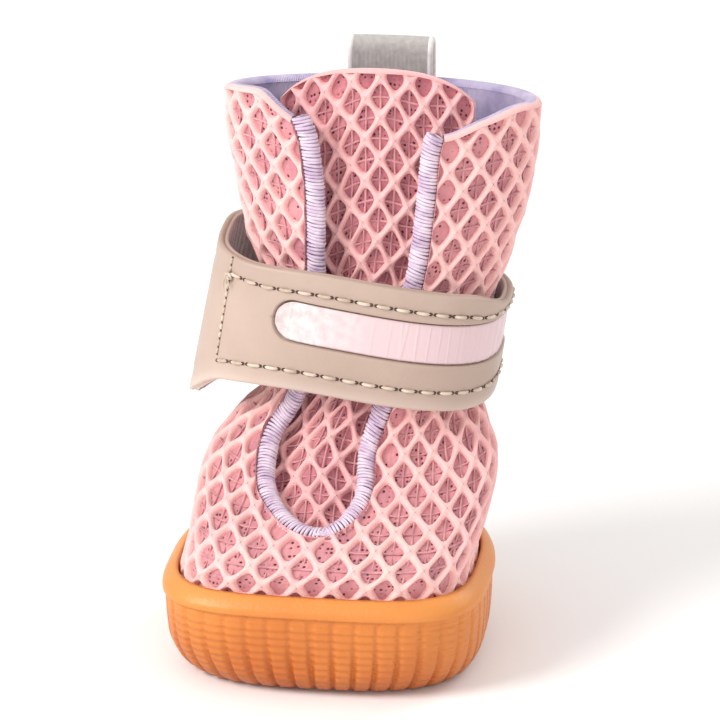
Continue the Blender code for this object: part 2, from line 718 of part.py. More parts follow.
def strap_point(turn, share, inset):
    """A point of the strap: turn round the ankle, share of its height, inset from its outer face."""
    degrees = math.degrees(turn)
    top = STRAP_HEIGHT * (0.5 + read_table(STRAP_EDGES, "turn", "top", degrees))
    bottom = -STRAP_HEIGHT * (0.5 + read_table(STRAP_EDGES, "turn", "bottom", degrees))
    flare = STRAP_FLARE * read_table(STRAP_EDGES, "turn", "flare", degrees) * (1.0 - share)
    ankle = upper_section(STRAP_MIDDLE_HEIGHT)
    half_width = strap_half_width() - inset + flare
    front = ankle["front"] - GAP - STRAP_FRONT_ROOM - STRAP_THICKNESS + inset
    back = ankle["back"] + 2.0 * GAP + STRAP_THICKNESS - inset
    x, y = egg_point(turn, half_width, front, back, SHAFT_SET_BACK, STRAP_FRONT_SQUARE, STRAP_BACK_SQUARE)
    z = mix(bottom, top, share)
    tilted_x = x * math.cos(STRAP_TILT) + z * math.sin(STRAP_TILT)
    tilted_z = z * math.cos(STRAP_TILT) - x * math.sin(STRAP_TILT)
    return ankle["lean"] + STRAP_SHIFT + tilted_x, y, STRAP_MIDDLE_HEIGHT + tilted_z


def build_window_cutter(cutters):
    """The pocket in the strap's outer face, with rounded ends."""
    return build_window_slab("window_cutter", cutters, -STRAP_THICKNESS, WINDOW_DEPTH, 0.0)


def build_window_slab(name, collection, outer_inset, inner_inset, clearance):
    """A slab that follows the strap's face inside the window's outline."""
    middle = 0.5 + WINDOW_RISE / STRAP_HEIGHT
    half = (WINDOW_HEIGHT / 2.0 - clearance) / STRAP_HEIGHT
    radius_turn = WINDOW_HEIGHT / 2.0 / strap_half_width()
    slack = clearance / strap_half_width()
    points = []
    for column in range(WINDOW_COLUMNS):
        along = column / (WINDOW_COLUMNS - 1)
        eased = 0.5 - 0.5 * math.cos(math.pi * along)
        turn = mix(WINDOW_START + slack, WINDOW_END - slack, eased)
        from_end = min(turn - WINDOW_START - slack, WINDOW_END - slack - turn)
        end_share = min(1.0, max(WINDOW_TIP_SHARE, from_end / radius_turn))
        tall = half * math.sqrt(1.0 - (1.0 - end_share) ** 2)
        points.append(strap_point(turn, middle - tall, outer_inset))
        points.append(strap_point(turn, middle + tall, outer_inset))
        points.append(strap_point(turn, middle + tall, inner_inset))
        points.append(strap_point(turn, middle - tall, inner_inset))
    faces = join_rings(WINDOW_COLUMNS, 4)
    faces.append((3, 2, 1, 0))
    last = len(points) - 4
    faces.append((last, last + 1, last + 2, last + 3))
    obj = make_object(name, points, faces, collection)
    face_outward(obj)
    return obj


def build_strap(parts, cutters):
    """The ankle band, a closed loop with a pocket for the reflective strip."""
    shares = [row / (STRAP_ROWS - 1) for row in range(STRAP_ROWS)]
    points = []
    for inset, climb in ((0.0, shares), (STRAP_THICKNESS, shares[::-1])):
        for share in climb:
            for side in range(STRAP_SIDES):
                turn = math.tau * side / STRAP_SIDES - math.pi
                points.append(strap_point(turn, share, inset))
    faces = join_rings(2 * STRAP_ROWS, STRAP_SIDES)
    last = (2 * STRAP_ROWS - 1) * STRAP_SIDES
    for side in range(STRAP_SIDES):
        after = (side + 1) % STRAP_SIDES
        faces.append((last + side, last + after, after, side))
    obj = make_object("strap", points, faces, parts)
    face_outward(obj)
    cutter = build_window_cutter(cutters)
    hide_cutter(cutter)
    cut(obj, cutter)
    finish(obj)


def build_reflective_strip(parts):
    inner = WINDOW_DEPTH - GAP
    obj = build_window_slab("reflective_strip", parts, inner - REFLECTIVE_THICKNESS, inner, GAP)
    finish(obj)


def build_pull_loop(parts):
    """A ribbon folded over the back of the collar, with a leg on each side of the wall."""
    half = LOOP_THICKNESS / 2.0
    fold_radius = UPPER_WALL / 2.0 + GAP + half
    fold_height = COLLAR_HEIGHT + LOOP_RISE - fold_radius - half
    outer_low = COLLAR_HEIGHT - LOOP_OUTER_LEG
    inner_low = COLLAR_HEIGHT - LOOP_INNER_LEG
    points = []
    outer_shares = [step / LOOP_OUTER_STEPS for step in range(LOOP_OUTER_STEPS + 1)]
    inner_shares = [step / LOOP_INNER_STEPS for step in range(LOOP_INNER_STEPS + 1)]
    profile = [("outer", mix(outer_low, fold_height, share)) for share in outer_shares]
    profile += [("fold", math.pi * step / LOOP_FOLD_STEPS) for step in range(1, LOOP_FOLD_STEPS)]
    profile += [("inner", mix(fold_height, inner_low, share)) for share in inner_shares]
    for kind, value in profile:
        for column in range(LOOP_COLUMNS):
            across = LOOP_WIDTH * (column / (LOOP_COLUMNS - 1) - 0.5)
            height = min(COLLAR_HEIGHT, fold_height if kind == "fold" else value)
            wall_middle = back_face(across, height, UPPER_WALL / 2.0)
            x = upper_section(height)["lean"] + across
            if kind == "fold":
                y = wall_middle + fold_radius * math.cos(value)
                z = fold_height + fold_radius * math.sin(value)
            else:
                y = wall_middle + (fold_radius if kind == "outer" else -fold_radius)
                z = value
            points.append((x, y, z))
    faces = join_rings(len(profile), LOOP_COLUMNS, closed=False)
    obj = make_object("pull_loop", points, faces, parts)
    solidify(obj, LOOP_THICKNESS, 0.0)
    finish(obj)


def back_face(across, height, inset):
    """The Y of the upper's back at a sideways place from its middle, inset from its outer face."""
    section = upper_section(height)
    half_width = section["half_width"] - inset
    reach = section["back"] - section["widest"] - inset
    square = section["back_square"]
    share = min(1.0, abs(across) / half_width)
    return section["widest"] + reach * (1.0 - share ** square) ** (1.0 / square)


def centre_on_floor(*collections):
    """Parents every object to an empty that puts the boot's box over the origin."""
    frame = bpy.data.objects.new("boot_frame", None)
    bpy.context.scene.collection.objects.link(frame)
    reach_right = SHAFT_LEAN + COLLAR_WIDTH / 2.0
    frame.location.x = (BALL_WIDTH / 2.0 - reach_right) / 2.0
    for collection in collections:
        for obj in collection.objects:
            obj.parent = frame


def clear_scene():
    for obj in list(bpy.data.objects):
        bpy.data.objects.remove(obj, do_unlink=True)


def main():
    clear_scene()
    parts = bpy.data.collections.new(COLLECTION_NAME)
    cutters = bpy.data.collections.new("cutters")
    bpy.context.scene.collection.children.link(parts)
    bpy.context.scene.collection.children.link(cutters)
    build_outsole(parts)
    build_insole(parts)
    build_upper(parts, cutters)
    build_edging(parts)
    build_tongue(parts)
    build_strap(parts, cutters)
    build_reflective_strip(parts)
    build_pull_loop(parts)
    centre_on_floor(parts, cutters)


main()
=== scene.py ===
"""Looks of the dog boot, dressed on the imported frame: net, overlock, strap, stitches, ribbon and gum sole."""

import math

import bpy
import numpy as np
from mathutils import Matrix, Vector, noise
from mathutils.bvhtree import BVHTree


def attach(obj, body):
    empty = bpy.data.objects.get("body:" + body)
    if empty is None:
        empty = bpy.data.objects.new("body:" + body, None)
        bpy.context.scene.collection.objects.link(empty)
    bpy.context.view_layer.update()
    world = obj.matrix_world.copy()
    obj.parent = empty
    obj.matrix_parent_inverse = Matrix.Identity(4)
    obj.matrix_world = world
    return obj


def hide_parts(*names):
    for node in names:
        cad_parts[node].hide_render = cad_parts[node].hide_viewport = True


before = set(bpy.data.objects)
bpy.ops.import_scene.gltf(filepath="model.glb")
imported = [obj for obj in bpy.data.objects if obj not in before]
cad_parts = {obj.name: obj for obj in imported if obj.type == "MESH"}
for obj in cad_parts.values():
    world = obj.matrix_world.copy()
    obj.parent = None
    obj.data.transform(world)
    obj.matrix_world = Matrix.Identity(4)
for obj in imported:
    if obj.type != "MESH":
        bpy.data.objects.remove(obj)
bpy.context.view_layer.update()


def table_of(names, *rows):
    """Columns of numbers by name. The others are read by the first."""
    return dict(zip(names.split(), zip(*rows)))


MM = 0.001
SHIFT_X = -0.0020

# Sizes of the solids, as in the part's source
GAP = 0.0003
UPPER_WALL = 0.0020
SOLE_LENGTH = 0.0490
BALL_WIDTH = 0.0434
HEEL_WIDTH = 0.0375
BALL_FORWARD = 0.0040
SOLE_RIM_HEIGHT = 0.0141
SOLE_STEP_HEIGHT = 0.0116
SOLE_STEP_DEPTH = 0.0005
SOLE_FLOOR_HEIGHT = 0.0045
SOLE_WALL = 0.0024
SOLE_WALL_SHARE = 0.45
SOLE_LIP = 0.0022
SOLE_EDGE_INSET = 0.0027
TOE_SPRING = 0.0016
TOE_SPRING_START_SHARE = 0.55
ARCH_LIFT = 0.0007
ARCH_MIDDLE_SHARE = 0.08
ARCH_REACH_SHARE = 0.28
RIB_COUNT = 52
INSOLE_THICKNESS = 0.0018
ANKLE_HEIGHT = 0.0410
COLLAR_HEIGHT = 0.0724
ANKLE_WIDTH = 0.0294
ANKLE_DEPTH = 0.0262
COLLAR_WIDTH = 0.0416
COLLAR_DEPTH = 0.0215
SHAFT_SET_BACK = 0.0080
SHAFT_LEAN = 0.0049
COLLAR_LIFT = 0.0028
THROAT_WIDTH = 0.0160
THROAT_LOW_HEIGHT = 0.0206
EDGING_RADIUS = 0.0012
TONGUE_THICKNESS = 0.0020
TONGUE_OVERLAP = 0.0030
TONGUE_RISE = 0.0050
TONGUE_CROWN = 0.0017
TONGUE_TUCK = 0.0030
TONGUE_ROOM = 0.0009
STRAP_HEIGHT = 0.0163
STRAP_THICKNESS = 0.0014
STRAP_HALF_WIDTH = 0.0198
STRAP_FRONT_ROOM = 0.0006
STRAP_MIDDLE_HEIGHT = 0.0440
STRAP_TILT = math.radians(8.5)
STRAP_SHIFT = -0.0028
STRAP_FLARE = 0.0012
WINDOW_HEIGHT = 0.0058
WINDOW_RISE = 0.0011
WINDOW_DEPTH = 0.0008
WINDOW_START = math.radians(-22.0)
WINDOW_END = math.radians(112.0)
LOOP_WIDTH = 0.0106
LOOP_RISE = 0.0062
LOOP_THICKNESS = 0.0007
LOOP_OUTER_LEG = 0.0120
LOOP_INNER_LEG = 0.0080
TOE_SQUARE = 3.9
HEEL_SQUARE = 2.4
ANKLE_SQUARE = 2.1
STRAP_FRONT_SQUARE = 2.8
STRAP_BACK_SQUARE = 2.4
THROAT_ROUND_SHARE = 0.09
TONGUE_TOP_SHARE = 0.92
TONGUE_DOME_SHARE = 0.018

COLLAR_RIM = table_of(
    "turn lift",
    (-180, 0.00), (-130, 0.10), (-90, 0.30), (-65, 0.62), (-48, 0.72), (-34, -0.12), (-20, -0.90),
    (0, -1.20), (26, -0.98), (43, -0.34), (65, 0.12), (90, 0.00), (180, 0.00),
)
SOLE_SIDE = table_of(
    "height inset square",
    (0.00, 1.00, 2.60), (0.08, 0.58, 2.75), (0.25, 0.24, 3.10),
    (0.50, 0.06, 3.60), (0.90, 0.00, 3.85), (1.00, 0.00, 3.90),
)
SOLE_BAND = table_of(
    "height inset",
    (0.00, 0.22), (0.08, 0.06), (0.30, 0.08), (0.55, 0.24), (0.75, 0.45), (0.92, 0.70), (1.00, 0.94),
)
FOOT_TO_ANKLE = table_of(
    "rise width front back shift lean square",
    (0.00, 0.00, 0.00, 0.00, 0.00, 0.00, 0.00),
    (0.07, 0.04, -0.03, -0.11, 0.00, 0.07, 0.05),
    (0.14, 0.02, 0.01, -0.33, 0.02, 0.18, 0.10),
    (0.20, -0.02, 0.11, -0.44, 0.05, 0.24, 0.20),
    (0.26, -0.06, 0.30, -0.44, 0.10, 0.28, 0.35),
    (0.34, -0.10, 0.57, -0.33, 0.22, 0.33, 0.60),
    (0.44, -0.01, 0.79, -0.02, 0.42, 0.40, 0.80),
    (0.56, 0.47, 0.93, 0.50, 0.68, 0.50, 1.00),
    (0.67, 0.96, 0.98, 0.90, 0.86, 0.70, 1.00),
    (0.82, 1.04, 1.00, 1.00, 0.97, 0.90, 1.00),
    (1.00, 1.00, 1.00, 1.00, 1.00, 0.96, 1.00),
)
ANKLE_TO_COLLAR = table_of(
    "rise width depth lean",
    (0.00, 0.00, 0.00, 0.96), (0.16, 0.04, 0.08, 0.99), (0.31, 0.32, 0.26, 1.02), (0.48, 0.60, 0.50, 1.03),
    (0.69, 0.84, 0.74, 1.02), (0.86, 0.97, 0.92, 1.00), (1.00, 1.00, 1.00, 1.00),
)
THROAT_EDGES = table_of(
    "rise left right",
    (0.00, -0.56, 0.34), (0.07, -0.70, 0.29), (0.15, -0.76, 0.24), (0.28, -0.68, 0.26),
    (0.44, -0.62, 0.32), (0.61, -0.55, 0.45), (0.80, -0.56, 0.52), (0.92, -0.60, 0.56),
    (0.98, -0.67, 0.64), (1.04, -0.86, 0.86), (1.10, -1.10, 1.10),
)
TONGUE_SECTIONS = table_of(
    "rise setback crown overlap",
    (0.00, 0.1, 0.0, 1.0), (0.09, 0.1, 0.1, 1.0), (0.20, 0.0, 1.0, 1.0), (0.35, 0.1, 0.9, 1.0),
    (0.50, 0.3, 0.5, 1.0), (0.75, 0.6, 0.4, 1.4), (1.00, 1.1, 0.3, 1.9),
)
STRAP_EDGES = table_of(
    "turn top bottom flare",
    (-180, -0.10, 0.30, 0.00), (-135, -0.04, 0.46, 0.60), (-100, 0.00, 0.54, 1.00),
    (-75, -0.06, 0.36, 0.85), (-45, -0.06, 0.10, 0.20), (0, 0.00, 0.00, 0.00),
    (45, -0.02, 0.00, 0.00), (90, -0.16, -0.02, 0.00), (135, -0.16, 0.08, 0.00), (180, -0.10, 0.30, 0.00),
)

# Net of the spacer mesh: lattice steps, hole as a share of its cell, heights over the outer face
NET_HALF_WIDE = 0.00200
NET_HALF_TALL = 0.00270
NET_RINGS = table_of(
    "share square lift",
    (1.00, 60.0, 0.00012), (0.90, 7.0, 0.00006), (0.82, 3.8, -0.00012),
    (0.77, 3.2, -0.00040), (0.745, 3.0, -0.00085),
)
NET_SIDES = 24
SPACER_YARN = 0.00015
BACKING_INSET = 0.00070
MESH_STRETCH = 0.6
STRAP_SEAM_HEIGHT = 0.0440
CUP_TUCK = 0.0010
UPPER_COLUMNS = 60

# Creases: mm out, slope, height, half height, share of girth, half width; and the folds over the heel
CREASES = (
    (0.40, 0.0, 0.0545, 0.0016, -0.42, 0.22),
    (-0.35, 0.012, 0.0580, 0.0014, -0.50, 0.16),
    (-0.30, -0.006, 0.0520, 0.0016, 0.50, 0.16),
    (-0.45, 0.0, 0.0335, 0.0016, 0.42, 0.16),
    (-0.45, 0.0, 0.0335, 0.0016, -0.42, 0.16),
    (0.35, 0.0, 0.0305, 0.0013, 0.44, 0.16),
    (0.35, 0.0, 0.0305, 0.0013, -0.44, 0.16),
)
HEEL_CREASE_HEIGHTS = (0.0290, 0.0330)
HEEL_CREASE_DEPTH = 0.00040
HEEL_CREASE_TALL = 0.0012
HEEL_CREASE_START = 0.7
HEEL_CREASE_EASE = 0.2

# Overlock and stitches
EDGING_CORE_SHARE = 0.70
EDGING_END_SHARE = 0.35
WRAP_PITCH = 0.00046
WRAP_THREAD = 0.00021
WRAP_SHIFT = 0.00036
STITCH_PITCH = 0.0026
STITCH_LENGTH = 0.0019
STITCH_THREAD = 0.00021
STITCH_INSET = 0.0027
WINDOW_STITCH_ROOM = 0.0008
STITCH_START = math.radians(-50.0)
STITCH_END = math.radians(128.0)
STITCH_RISE = np.array([-0.9, -0.1, 0.55, 0.85, 0.9, 0.85, 0.55, -0.1, -0.9])
STITCH_WIDTH = np.array([0.55, 0.85, 1.0, 1.05, 1.05, 1.05, 1.0, 0.85, 0.55])

# Strap's edge and window lip: step from the edge or lip, and inset, with the groove between two layers
STRAP_LAYER = 0.00085
STRAP_ROUND = 0.00042
STRAP_EDGE_ROWS = [
    (0.00010, STRAP_THICKNESS),
    (0.0, STRAP_THICKNESS - 0.00012),
    (0.0, STRAP_LAYER + 0.00010),
    (0.00028, STRAP_LAYER + 0.00002),
    (0.00012, STRAP_LAYER - 0.00008),
]
for _turn in np.linspace(math.pi / 2.0, 0.0, 5):
    STRAP_EDGE_ROWS.append((STRAP_ROUND * (1.0 - math.sin(_turn)), STRAP_ROUND * (1.0 - math.cos(_turn))))
WINDOW_LIP_ROWS = ((0.00014, 0.00001), (0.00003, 0.00008), (0.0, 0.00022), (0.0, WINDOW_DEPTH - 0.00005))
WINDOW_LIP_EASE = 0.00025

# Camera
CAMERA_YAW = math.radians(8.0)
CAMERA_RISE = math.radians(19.0)
CAMERA_DISTANCE = 0.5
CAMERA_LENS = 188.0
CAMERA_TARGET = Vector((0.0005, 0.004, 0.0375))

WHITE = (255, 255, 255)
BLACK = (0, 0, 0)


def mix(start, end, share):
    return start + (end - start) * share


def read_table(table, name, value):
    """A smooth curve through one column of a table, held flat past its ends."""
    rows = list(zip(next(iter(table.values())), table[name]))
    if value <= rows[0][0]:
        return rows[0][1]
    if value >= rows[-1][0]:
        return rows[-1][1]
    steps = [(b[1] - a[1]) / (b[0] - a[0]) for a, b in zip(rows, rows[1:])]
    slopes = [steps[0]]
    for before, after in zip(steps, steps[1:]):
        slopes.append(0.0 if before * after <= 0.0 else 2.0 * before * after / (before + after))
    slopes.append(steps[-1])
    index = max(i for i, row in enumerate(rows[:-1]) if row[0] <= value)
    span = rows[index + 1][0] - rows[index][0]
    t = (value - rows[index][0]) / span
    start_part = (1.0 + 2.0 * t) * (1.0 - t) ** 2 * rows[index][1]
    end_part = t * t * (3.0 - 2.0 * t) * rows[index + 1][1]
    slope_part = span * (t * (1.0 - t) ** 2 * slopes[index] + t * t * (t - 1.0) * slopes[index + 1])
    return start_part + end_part + slope_part


def read_many(table, name, values):
    return np.array([read_table(table, name, value) for value in values])


def signed_power(value, power):
    return np.sign(value) * np.abs(value) ** power


def unit(vectors):
    return vectors / np.maximum(np.linalg.norm(vectors, axis=-1, keepdims=True), 1e-12)


def smooth(share):
    share = np.clip(share, 0.0, 1.0)
    return share * share * (3.0 - 2.0 * share)


def bump_at(value, middle, width):
    return np.exp(-((value - middle) / width) ** 2)


def run_lengths(points):
    """Lengths down the first axis of an array of points, from its start."""
    steps = np.linalg.norm(np.diff(points, axis=0), axis=-1)
    return np.concatenate([np.zeros((1,) + steps.shape[1:]), np.cumsum(steps, axis=0)])


def circle(count):
    return np.arange(count) * math.tau / count


def egg(turn, half_width, front, back, widest, front_square, back_square):
    """Points of a closed outline: turn 0 at the front, growing toward +X."""
    forward = np.cos(turn)
    square = np.where(forward > 0.0, front_square, back_square)
    reach = np.where(forward > 0.0, widest - front, back - widest)
    x = half_width * signed_power(np.sin(turn), 2.0 / square)
    return x, widest - reach * signed_power(forward, 2.0 / square)


def sole_outline(turn, inset, square=TOE_SQUARE):
    half = SOLE_LENGTH / 2.0
    x, y = egg(turn, BALL_WIDTH / 2.0 - inset, inset - half, half - inset, -BALL_FORWARD, square, HEEL_SQUARE)
    behind = (y + BALL_FORWARD) / (half + BALL_FORWARD)
    return x * mix(1.0, HEEL_WIDTH / BALL_WIDTH, smooth(behind)), y


def even_turns(count, inset, square):
    """Turns that place points evenly along the sole's outline, starting at the toe."""
    fine = np.linspace(0.0, math.tau, count * 4 + 1)
    lengths = run_lengths(np.stack(sole_outline(fine, inset, square), axis=1))
    return np.interp(np.arange(count) * lengths[-1] / count, lengths, fine)


def tread_lift(y):
    """How far the underside is off the floor: toe spring at the front, arch at the waist."""
    along = y / (SOLE_LENGTH / 2.0)
    toe = np.clip((-along - TOE_SPRING_START_SHARE) / (1.0 - TOE_SPRING_START_SHARE), 0.0, None)
    waist = 1.0 - np.abs(along - ARCH_MIDDLE_SHARE) / ARCH_REACH_SHARE
    return TOE_SPRING * toe * toe + ARCH_LIFT * smooth(waist)


CUP_WALL_HEIGHT = mix(SOLE_FLOOR_HEIGHT, SOLE_RIM_HEIGHT, SOLE_WALL_SHARE)


def upper_section(height):
    """The upper's outer section at a height."""
    if height <= ANKLE_HEIGHT:
        up_cup = (height - CUP_WALL_HEIGHT) / (SOLE_RIM_HEIGHT - CUP_WALL_HEIGHT)
        inset = mix(SOLE_WALL, SOLE_LIP, min(1.0, max(0.0, up_cup))) + GAP
        half_length = SOLE_LENGTH / 2.0 - inset
        rise = (height - SOLE_RIM_HEIGHT) / (ANKLE_HEIGHT - SOLE_RIM_HEIGHT)
        share = {key: read_table(FOOT_TO_ANKLE, key, rise) for key in FOOT_TO_ANKLE}
        return {
            "lean": SHAFT_LEAN * share["lean"],
            "half_width": mix(BALL_WIDTH / 2.0 - inset, ANKLE_WIDTH / 2.0, share["width"]),
            "front": mix(-half_length, SHAFT_SET_BACK - ANKLE_DEPTH / 2.0, share["front"]),
            "back": mix(half_length, SHAFT_SET_BACK + ANKLE_DEPTH / 2.0, share["back"]),
            "widest": mix(-BALL_FORWARD, SHAFT_SET_BACK, share["shift"]),
            "front_square": mix(TOE_SQUARE, ANKLE_SQUARE, share["square"]),
            "back_square": mix(HEEL_SQUARE, ANKLE_SQUARE, share["square"]),
            "heel": mix(HEEL_WIDTH / BALL_WIDTH, 1.0, share["shift"]),
        }
    rise = (height - ANKLE_HEIGHT) / (COLLAR_HEIGHT - ANKLE_HEIGHT)
    share = {key: read_table(ANKLE_TO_COLLAR, key, rise) for key in ANKLE_TO_COLLAR}
    half_depth = mix(ANKLE_DEPTH, COLLAR_DEPTH, share["depth"]) / 2.0
    return {
        "lean": SHAFT_LEAN * share["lean"],
        "half_width": mix(ANKLE_WIDTH, COLLAR_WIDTH, share["width"]) / 2.0,
        "front": SHAFT_SET_BACK - half_depth,
        "back": SHAFT_SET_BACK + half_depth,
        "widest": SHAFT_SET_BACK,
        "front_square": ANKLE_SQUARE,
        "back_square": ANKLE_SQUARE,
        "heel": 1.0,
    }


DEGREES = np.arange(-180, 181)
LEVELS = np.arange(SOLE_FLOOR_HEIGHT, 0.0900, 0.0002)
FRACTIONS = np.linspace(-1.0, 1.0, 721)
LEVEL_SECTIONS = [upper_section(level) for level in LEVELS]
SECTIONS = {key: np.array([row[key] for row in LEVEL_SECTIONS]) for key in LEVEL_SECTIONS[0]}


class Skin:
    """A surface held as a fine table of places and normals, read between its points."""

    def __init__(self, us, vs, places, wrapped=False):
        self.us = us
        self.vs = vs
        self.wrapped = wrapped
        self.places = places
        self.normals = unit(np.cross(np.gradient(places, axis=1), np.gradient(places, axis=0)))

    def read_one(self, table, u, v):
        if self.wrapped:
            u = np.where(u > self.us[-1], u - (self.us[-1] - self.us[0]), u)
        column = np.clip((u - self.us[0]) / (self.us[1] - self.us[0]), 0.0, len(self.us) - 1.001)
        row = np.clip((v - self.vs[0]) / (self.vs[1] - self.vs[0]), 0.0, len(self.vs) - 1.001)
        c = column.astype(int)
        r = row.astype(int)
        a = (column - c)[..., None]
        low = table[r, c] * (1.0 - a) + table[r, c + 1] * a
        high = table[r + 1, c] * (1.0 - a) + table[r + 1, c + 1] * a
        return mix(low, high, (row - r)[..., None])

    def read(self, u, v, depth=0.0):
        """Places at a depth under the surface, and the normals there."""
        u = np.asarray(u, float)
        v = np.asarray(v, float)
        normal = unit(self.read_one(self.normals, u, v))
        depth = np.broadcast_to(depth, u.shape)[..., None]
        return self.read_one(self.places, u, v) - normal * depth, normal

    def place(self, params, depth=0.0):
        return self.read(params[:, 0], params[:, 1], depth)[0]


def upper_rings():
    """Places and turns round the upper at even shares of each section's girth, from the back by the left."""
    turns = np.linspace(-math.pi, math.pi, 1441)
    rings = np.zeros((len(LEVELS), len(FRACTIONS), 4))
    for index, level in enumerate(LEVELS):
        s = {key: column[index] for key, column in SECTIONS.items()}
        x, y = egg(turns, s["half_width"], s["front"], s["back"], s["widest"], s["front_square"], s["back_square"])
        behind = (y - s["widest"]) / (s["back"] - s["widest"])
        x = x * mix(1.0, s["heel"], smooth(behind))
        lengths = run_lengths(np.stack([x, y], axis=1))
        shares = 2.0 * lengths / lengths[-1] - 1.0
        rings[index, :, 0] = np.interp(FRACTIONS, shares, x) + s["lean"] + SHIFT_X
        rings[index, :, 1] = np.interp(FRACTIONS, shares, y)
        rings[index, :, 2] = level
        rings[index, :, 3] = np.interp(FRACTIONS, shares, turns)
    return rings[..., :3], rings[..., 3:]


def upper_creases(f, z):
    """Soft troughs and ridges, where the strap gathers the mesh and the foot meets the shaft."""
    lift = 0.0
    for out, slope, height, tall, share, wide in CREASES:
        lift = lift + out * MM * bump_at(z + slope * f, height, tall) * bump_at(f, share, wide)
    heel = sum(bump_at(z, height, HEEL_CREASE_TALL) for height in HEEL_CREASE_HEIGHTS)
    return lift - HEEL_CREASE_DEPTH * heel * smooth((abs(f) - HEEL_CREASE_START) / HEEL_CREASE_EASE)


def creased(places):
    return places + Skin(FRACTIONS, LEVELS, places).normals * upper_creases(*np.meshgrid(FRACTIONS, LEVELS))[..., None]


RING_PLACES, TURN_TABLE = upper_rings()
UPPER = Skin(FRACTIONS, LEVELS, creased(RING_PLACES), wrapped=True)
RIM_LIFTS = COLLAR_LIFT * read_many(COLLAR_RIM, "lift", DEGREES)


def section_at(height, key):
    return np.interp(height, LEVELS, SECTIONS[key])


def throat_rise(height):
    return (height - THROAT_LOW_HEIGHT) / (COLLAR_HEIGHT - THROAT_LOW_HEIGHT)


def throat_edge(rise, side):
    """Sideways place of one edge of the throat from the source's middle, and its height."""
    height = mix(THROAT_LOW_HEIGHT, COLLAR_HEIGHT, rise)
    left = read_table(THROAT_EDGES, "left", rise)
    right = read_table(THROAT_EDGES, "right", rise)
    half = (right - left) / 2.0
    if rise < THROAT_ROUND_SHARE:
        half *= math.sqrt(max(0.0, 1.0 - (1.0 - max(0.0, rise) / THROAT_ROUND_SHARE) ** 2))
    return section_at(height, "lean") + THROAT_WIDTH * ((left + right) / 2.0 + side * half), height


def edge_fraction(height, side):
    """Where one edge of the throat crosses a height, as a share of the girth from the front."""
    x = throat_edge(throat_rise(height), side)[0]
    across = (x - section_at(height, "lean")) / section_at(height, "half_width")
    turn = math.asin(max(-1.0, min(1.0, signed_power(across, section_at(height, "front_square") / 2.0))))
    row = int(round((height - LEVELS[0]) / (LEVELS[1] - LEVELS[0])))
    return float(np.interp(turn, TURN_TABLE[row, :, 0], FRACTIONS))


def lifted(f, height):
    """The height of a row of the upper, following the collar's rim more and more toward the top."""
    share = np.clip((height - ANKLE_HEIGHT) / (COLLAR_HEIGHT - ANKLE_HEIGHT), 0.0, 1.1)
    turn = UPPER.read_one(TURN_TABLE, np.asarray(f, float), np.broadcast_to(float(height), np.shape(f)))[..., 0]
    return height + np.interp(np.degrees(turn), DEGREES, RIM_LIFTS) * share


def edge_point(height, side):
    """Girth share and true height of a row's end at one edge of the throat, found by halving."""
    near, far = 0.0, 0.6
    for _ in range(18):
        middle = (near + far) / 2.0
        level = float(lifted(np.array([side * middle]), height)[0])
        if middle < abs(edge_fraction(level, side)):
            near = middle
        else:
            far = middle
    return side * middle, level


def face_at(across, height, end, inset=0.0):
    """Where the upper's front or back face lies, at a place across it and a height."""
    widest = section_at(height, "widest")
    reach = section_at(height, end) - widest
    reach = np.sign(reach) * (np.abs(reach) - inset)
    square = section_at(height, end + "_square")
    share = np.minimum(1.0, np.abs(across) / (section_at(height, "half_width") - inset))
    return widest + reach * (1.0 - share ** square) ** (1.0 / square)


def front_face(x, height):
    return face_at(x - section_at(height, "lean"), height, "front")


def on_front(x, climb):
    """Points of the front's outer face at sideways places and climbs, which are Y + Z."""
    low = np.full(np.shape(x), SOLE_FLOOR_HEIGHT)
    high = np.full(np.shape(x), COLLAR_HEIGHT + SOLE_LENGTH)
    for _ in range(30):
        middle = (low + high) / 2.0
        under = front_face(x, middle) + middle < climb
        low = np.where(under, middle, low)
        high = np.where(under, high, middle)
    return np.stack([x, climb - low, low], axis=-1)


def tongue_skin():
    """The tongue's outer face, by share across and share up."""
    acrosses = np.linspace(-1.0, 1.0, 81)
    shares = np.linspace(0.0, 1.0, 161)
    low_x, low_height = throat_edge(0.0, 0.0)
    low_climb = front_face(low_x, low_height) + low_height - TONGUE_TUCK
    top_height = COLLAR_HEIGHT + TONGUE_RISE
    top_climb = top_height + front_face(section_at(top_height, "lean"), top_height)
    start_x = np.array([section_at(THROAT_LOW_HEIGHT, "lean")])
    places = np.zeros((len(shares), len(acrosses), 3))
    for row, share in enumerate(shares):
        setback, crown, overlap = (read_table(TONGUE_SECTIONS, key, share) for key in ("setback", "crown", "overlap"))
        level = on_front(start_x, np.array([mix(low_climb, top_climb, share)]))[0, 2]
        rise = min(TONGUE_TOP_SHARE, max(THROAT_ROUND_SHARE, throat_rise(level)))
        left = throat_edge(rise, -1.0)[0]
        right = throat_edge(rise, 1.0)[0]
        open_half = (right - left) / 2.0
        half_width = open_half + TONGUE_OVERLAP * overlap
        crown_half = open_half - 2.0 * EDGING_RADIUS - GAP
        climb = mix(low_climb, top_climb, share * (1.0 - TONGUE_DOME_SHARE * acrosses ** 4))
        near = np.clip(1.0 - (acrosses * half_width / crown_half) ** 2, 0.0, None)
        depth = UPPER_WALL + TONGUE_ROOM + UPPER_WALL * setback - TONGUE_CROWN * crown * near * near
        x = (left + right) / 2.0 + acrosses * half_width
        across = on_front(x + GAP, climb) - on_front(x - GAP, climb)
        upward = on_front(x, climb + GAP) - on_front(x, climb - GAP)
        places[row] = on_front(x, climb) - unit(np.cross(across, upward)) * depth[:, None]
    places[..., 0] += SHIFT_X
    return Skin(acrosses, shares, places)


STRAP_CURVES = {key: read_many(STRAP_EDGES, key, DEGREES) for key in ("top", "bottom", "flare")}


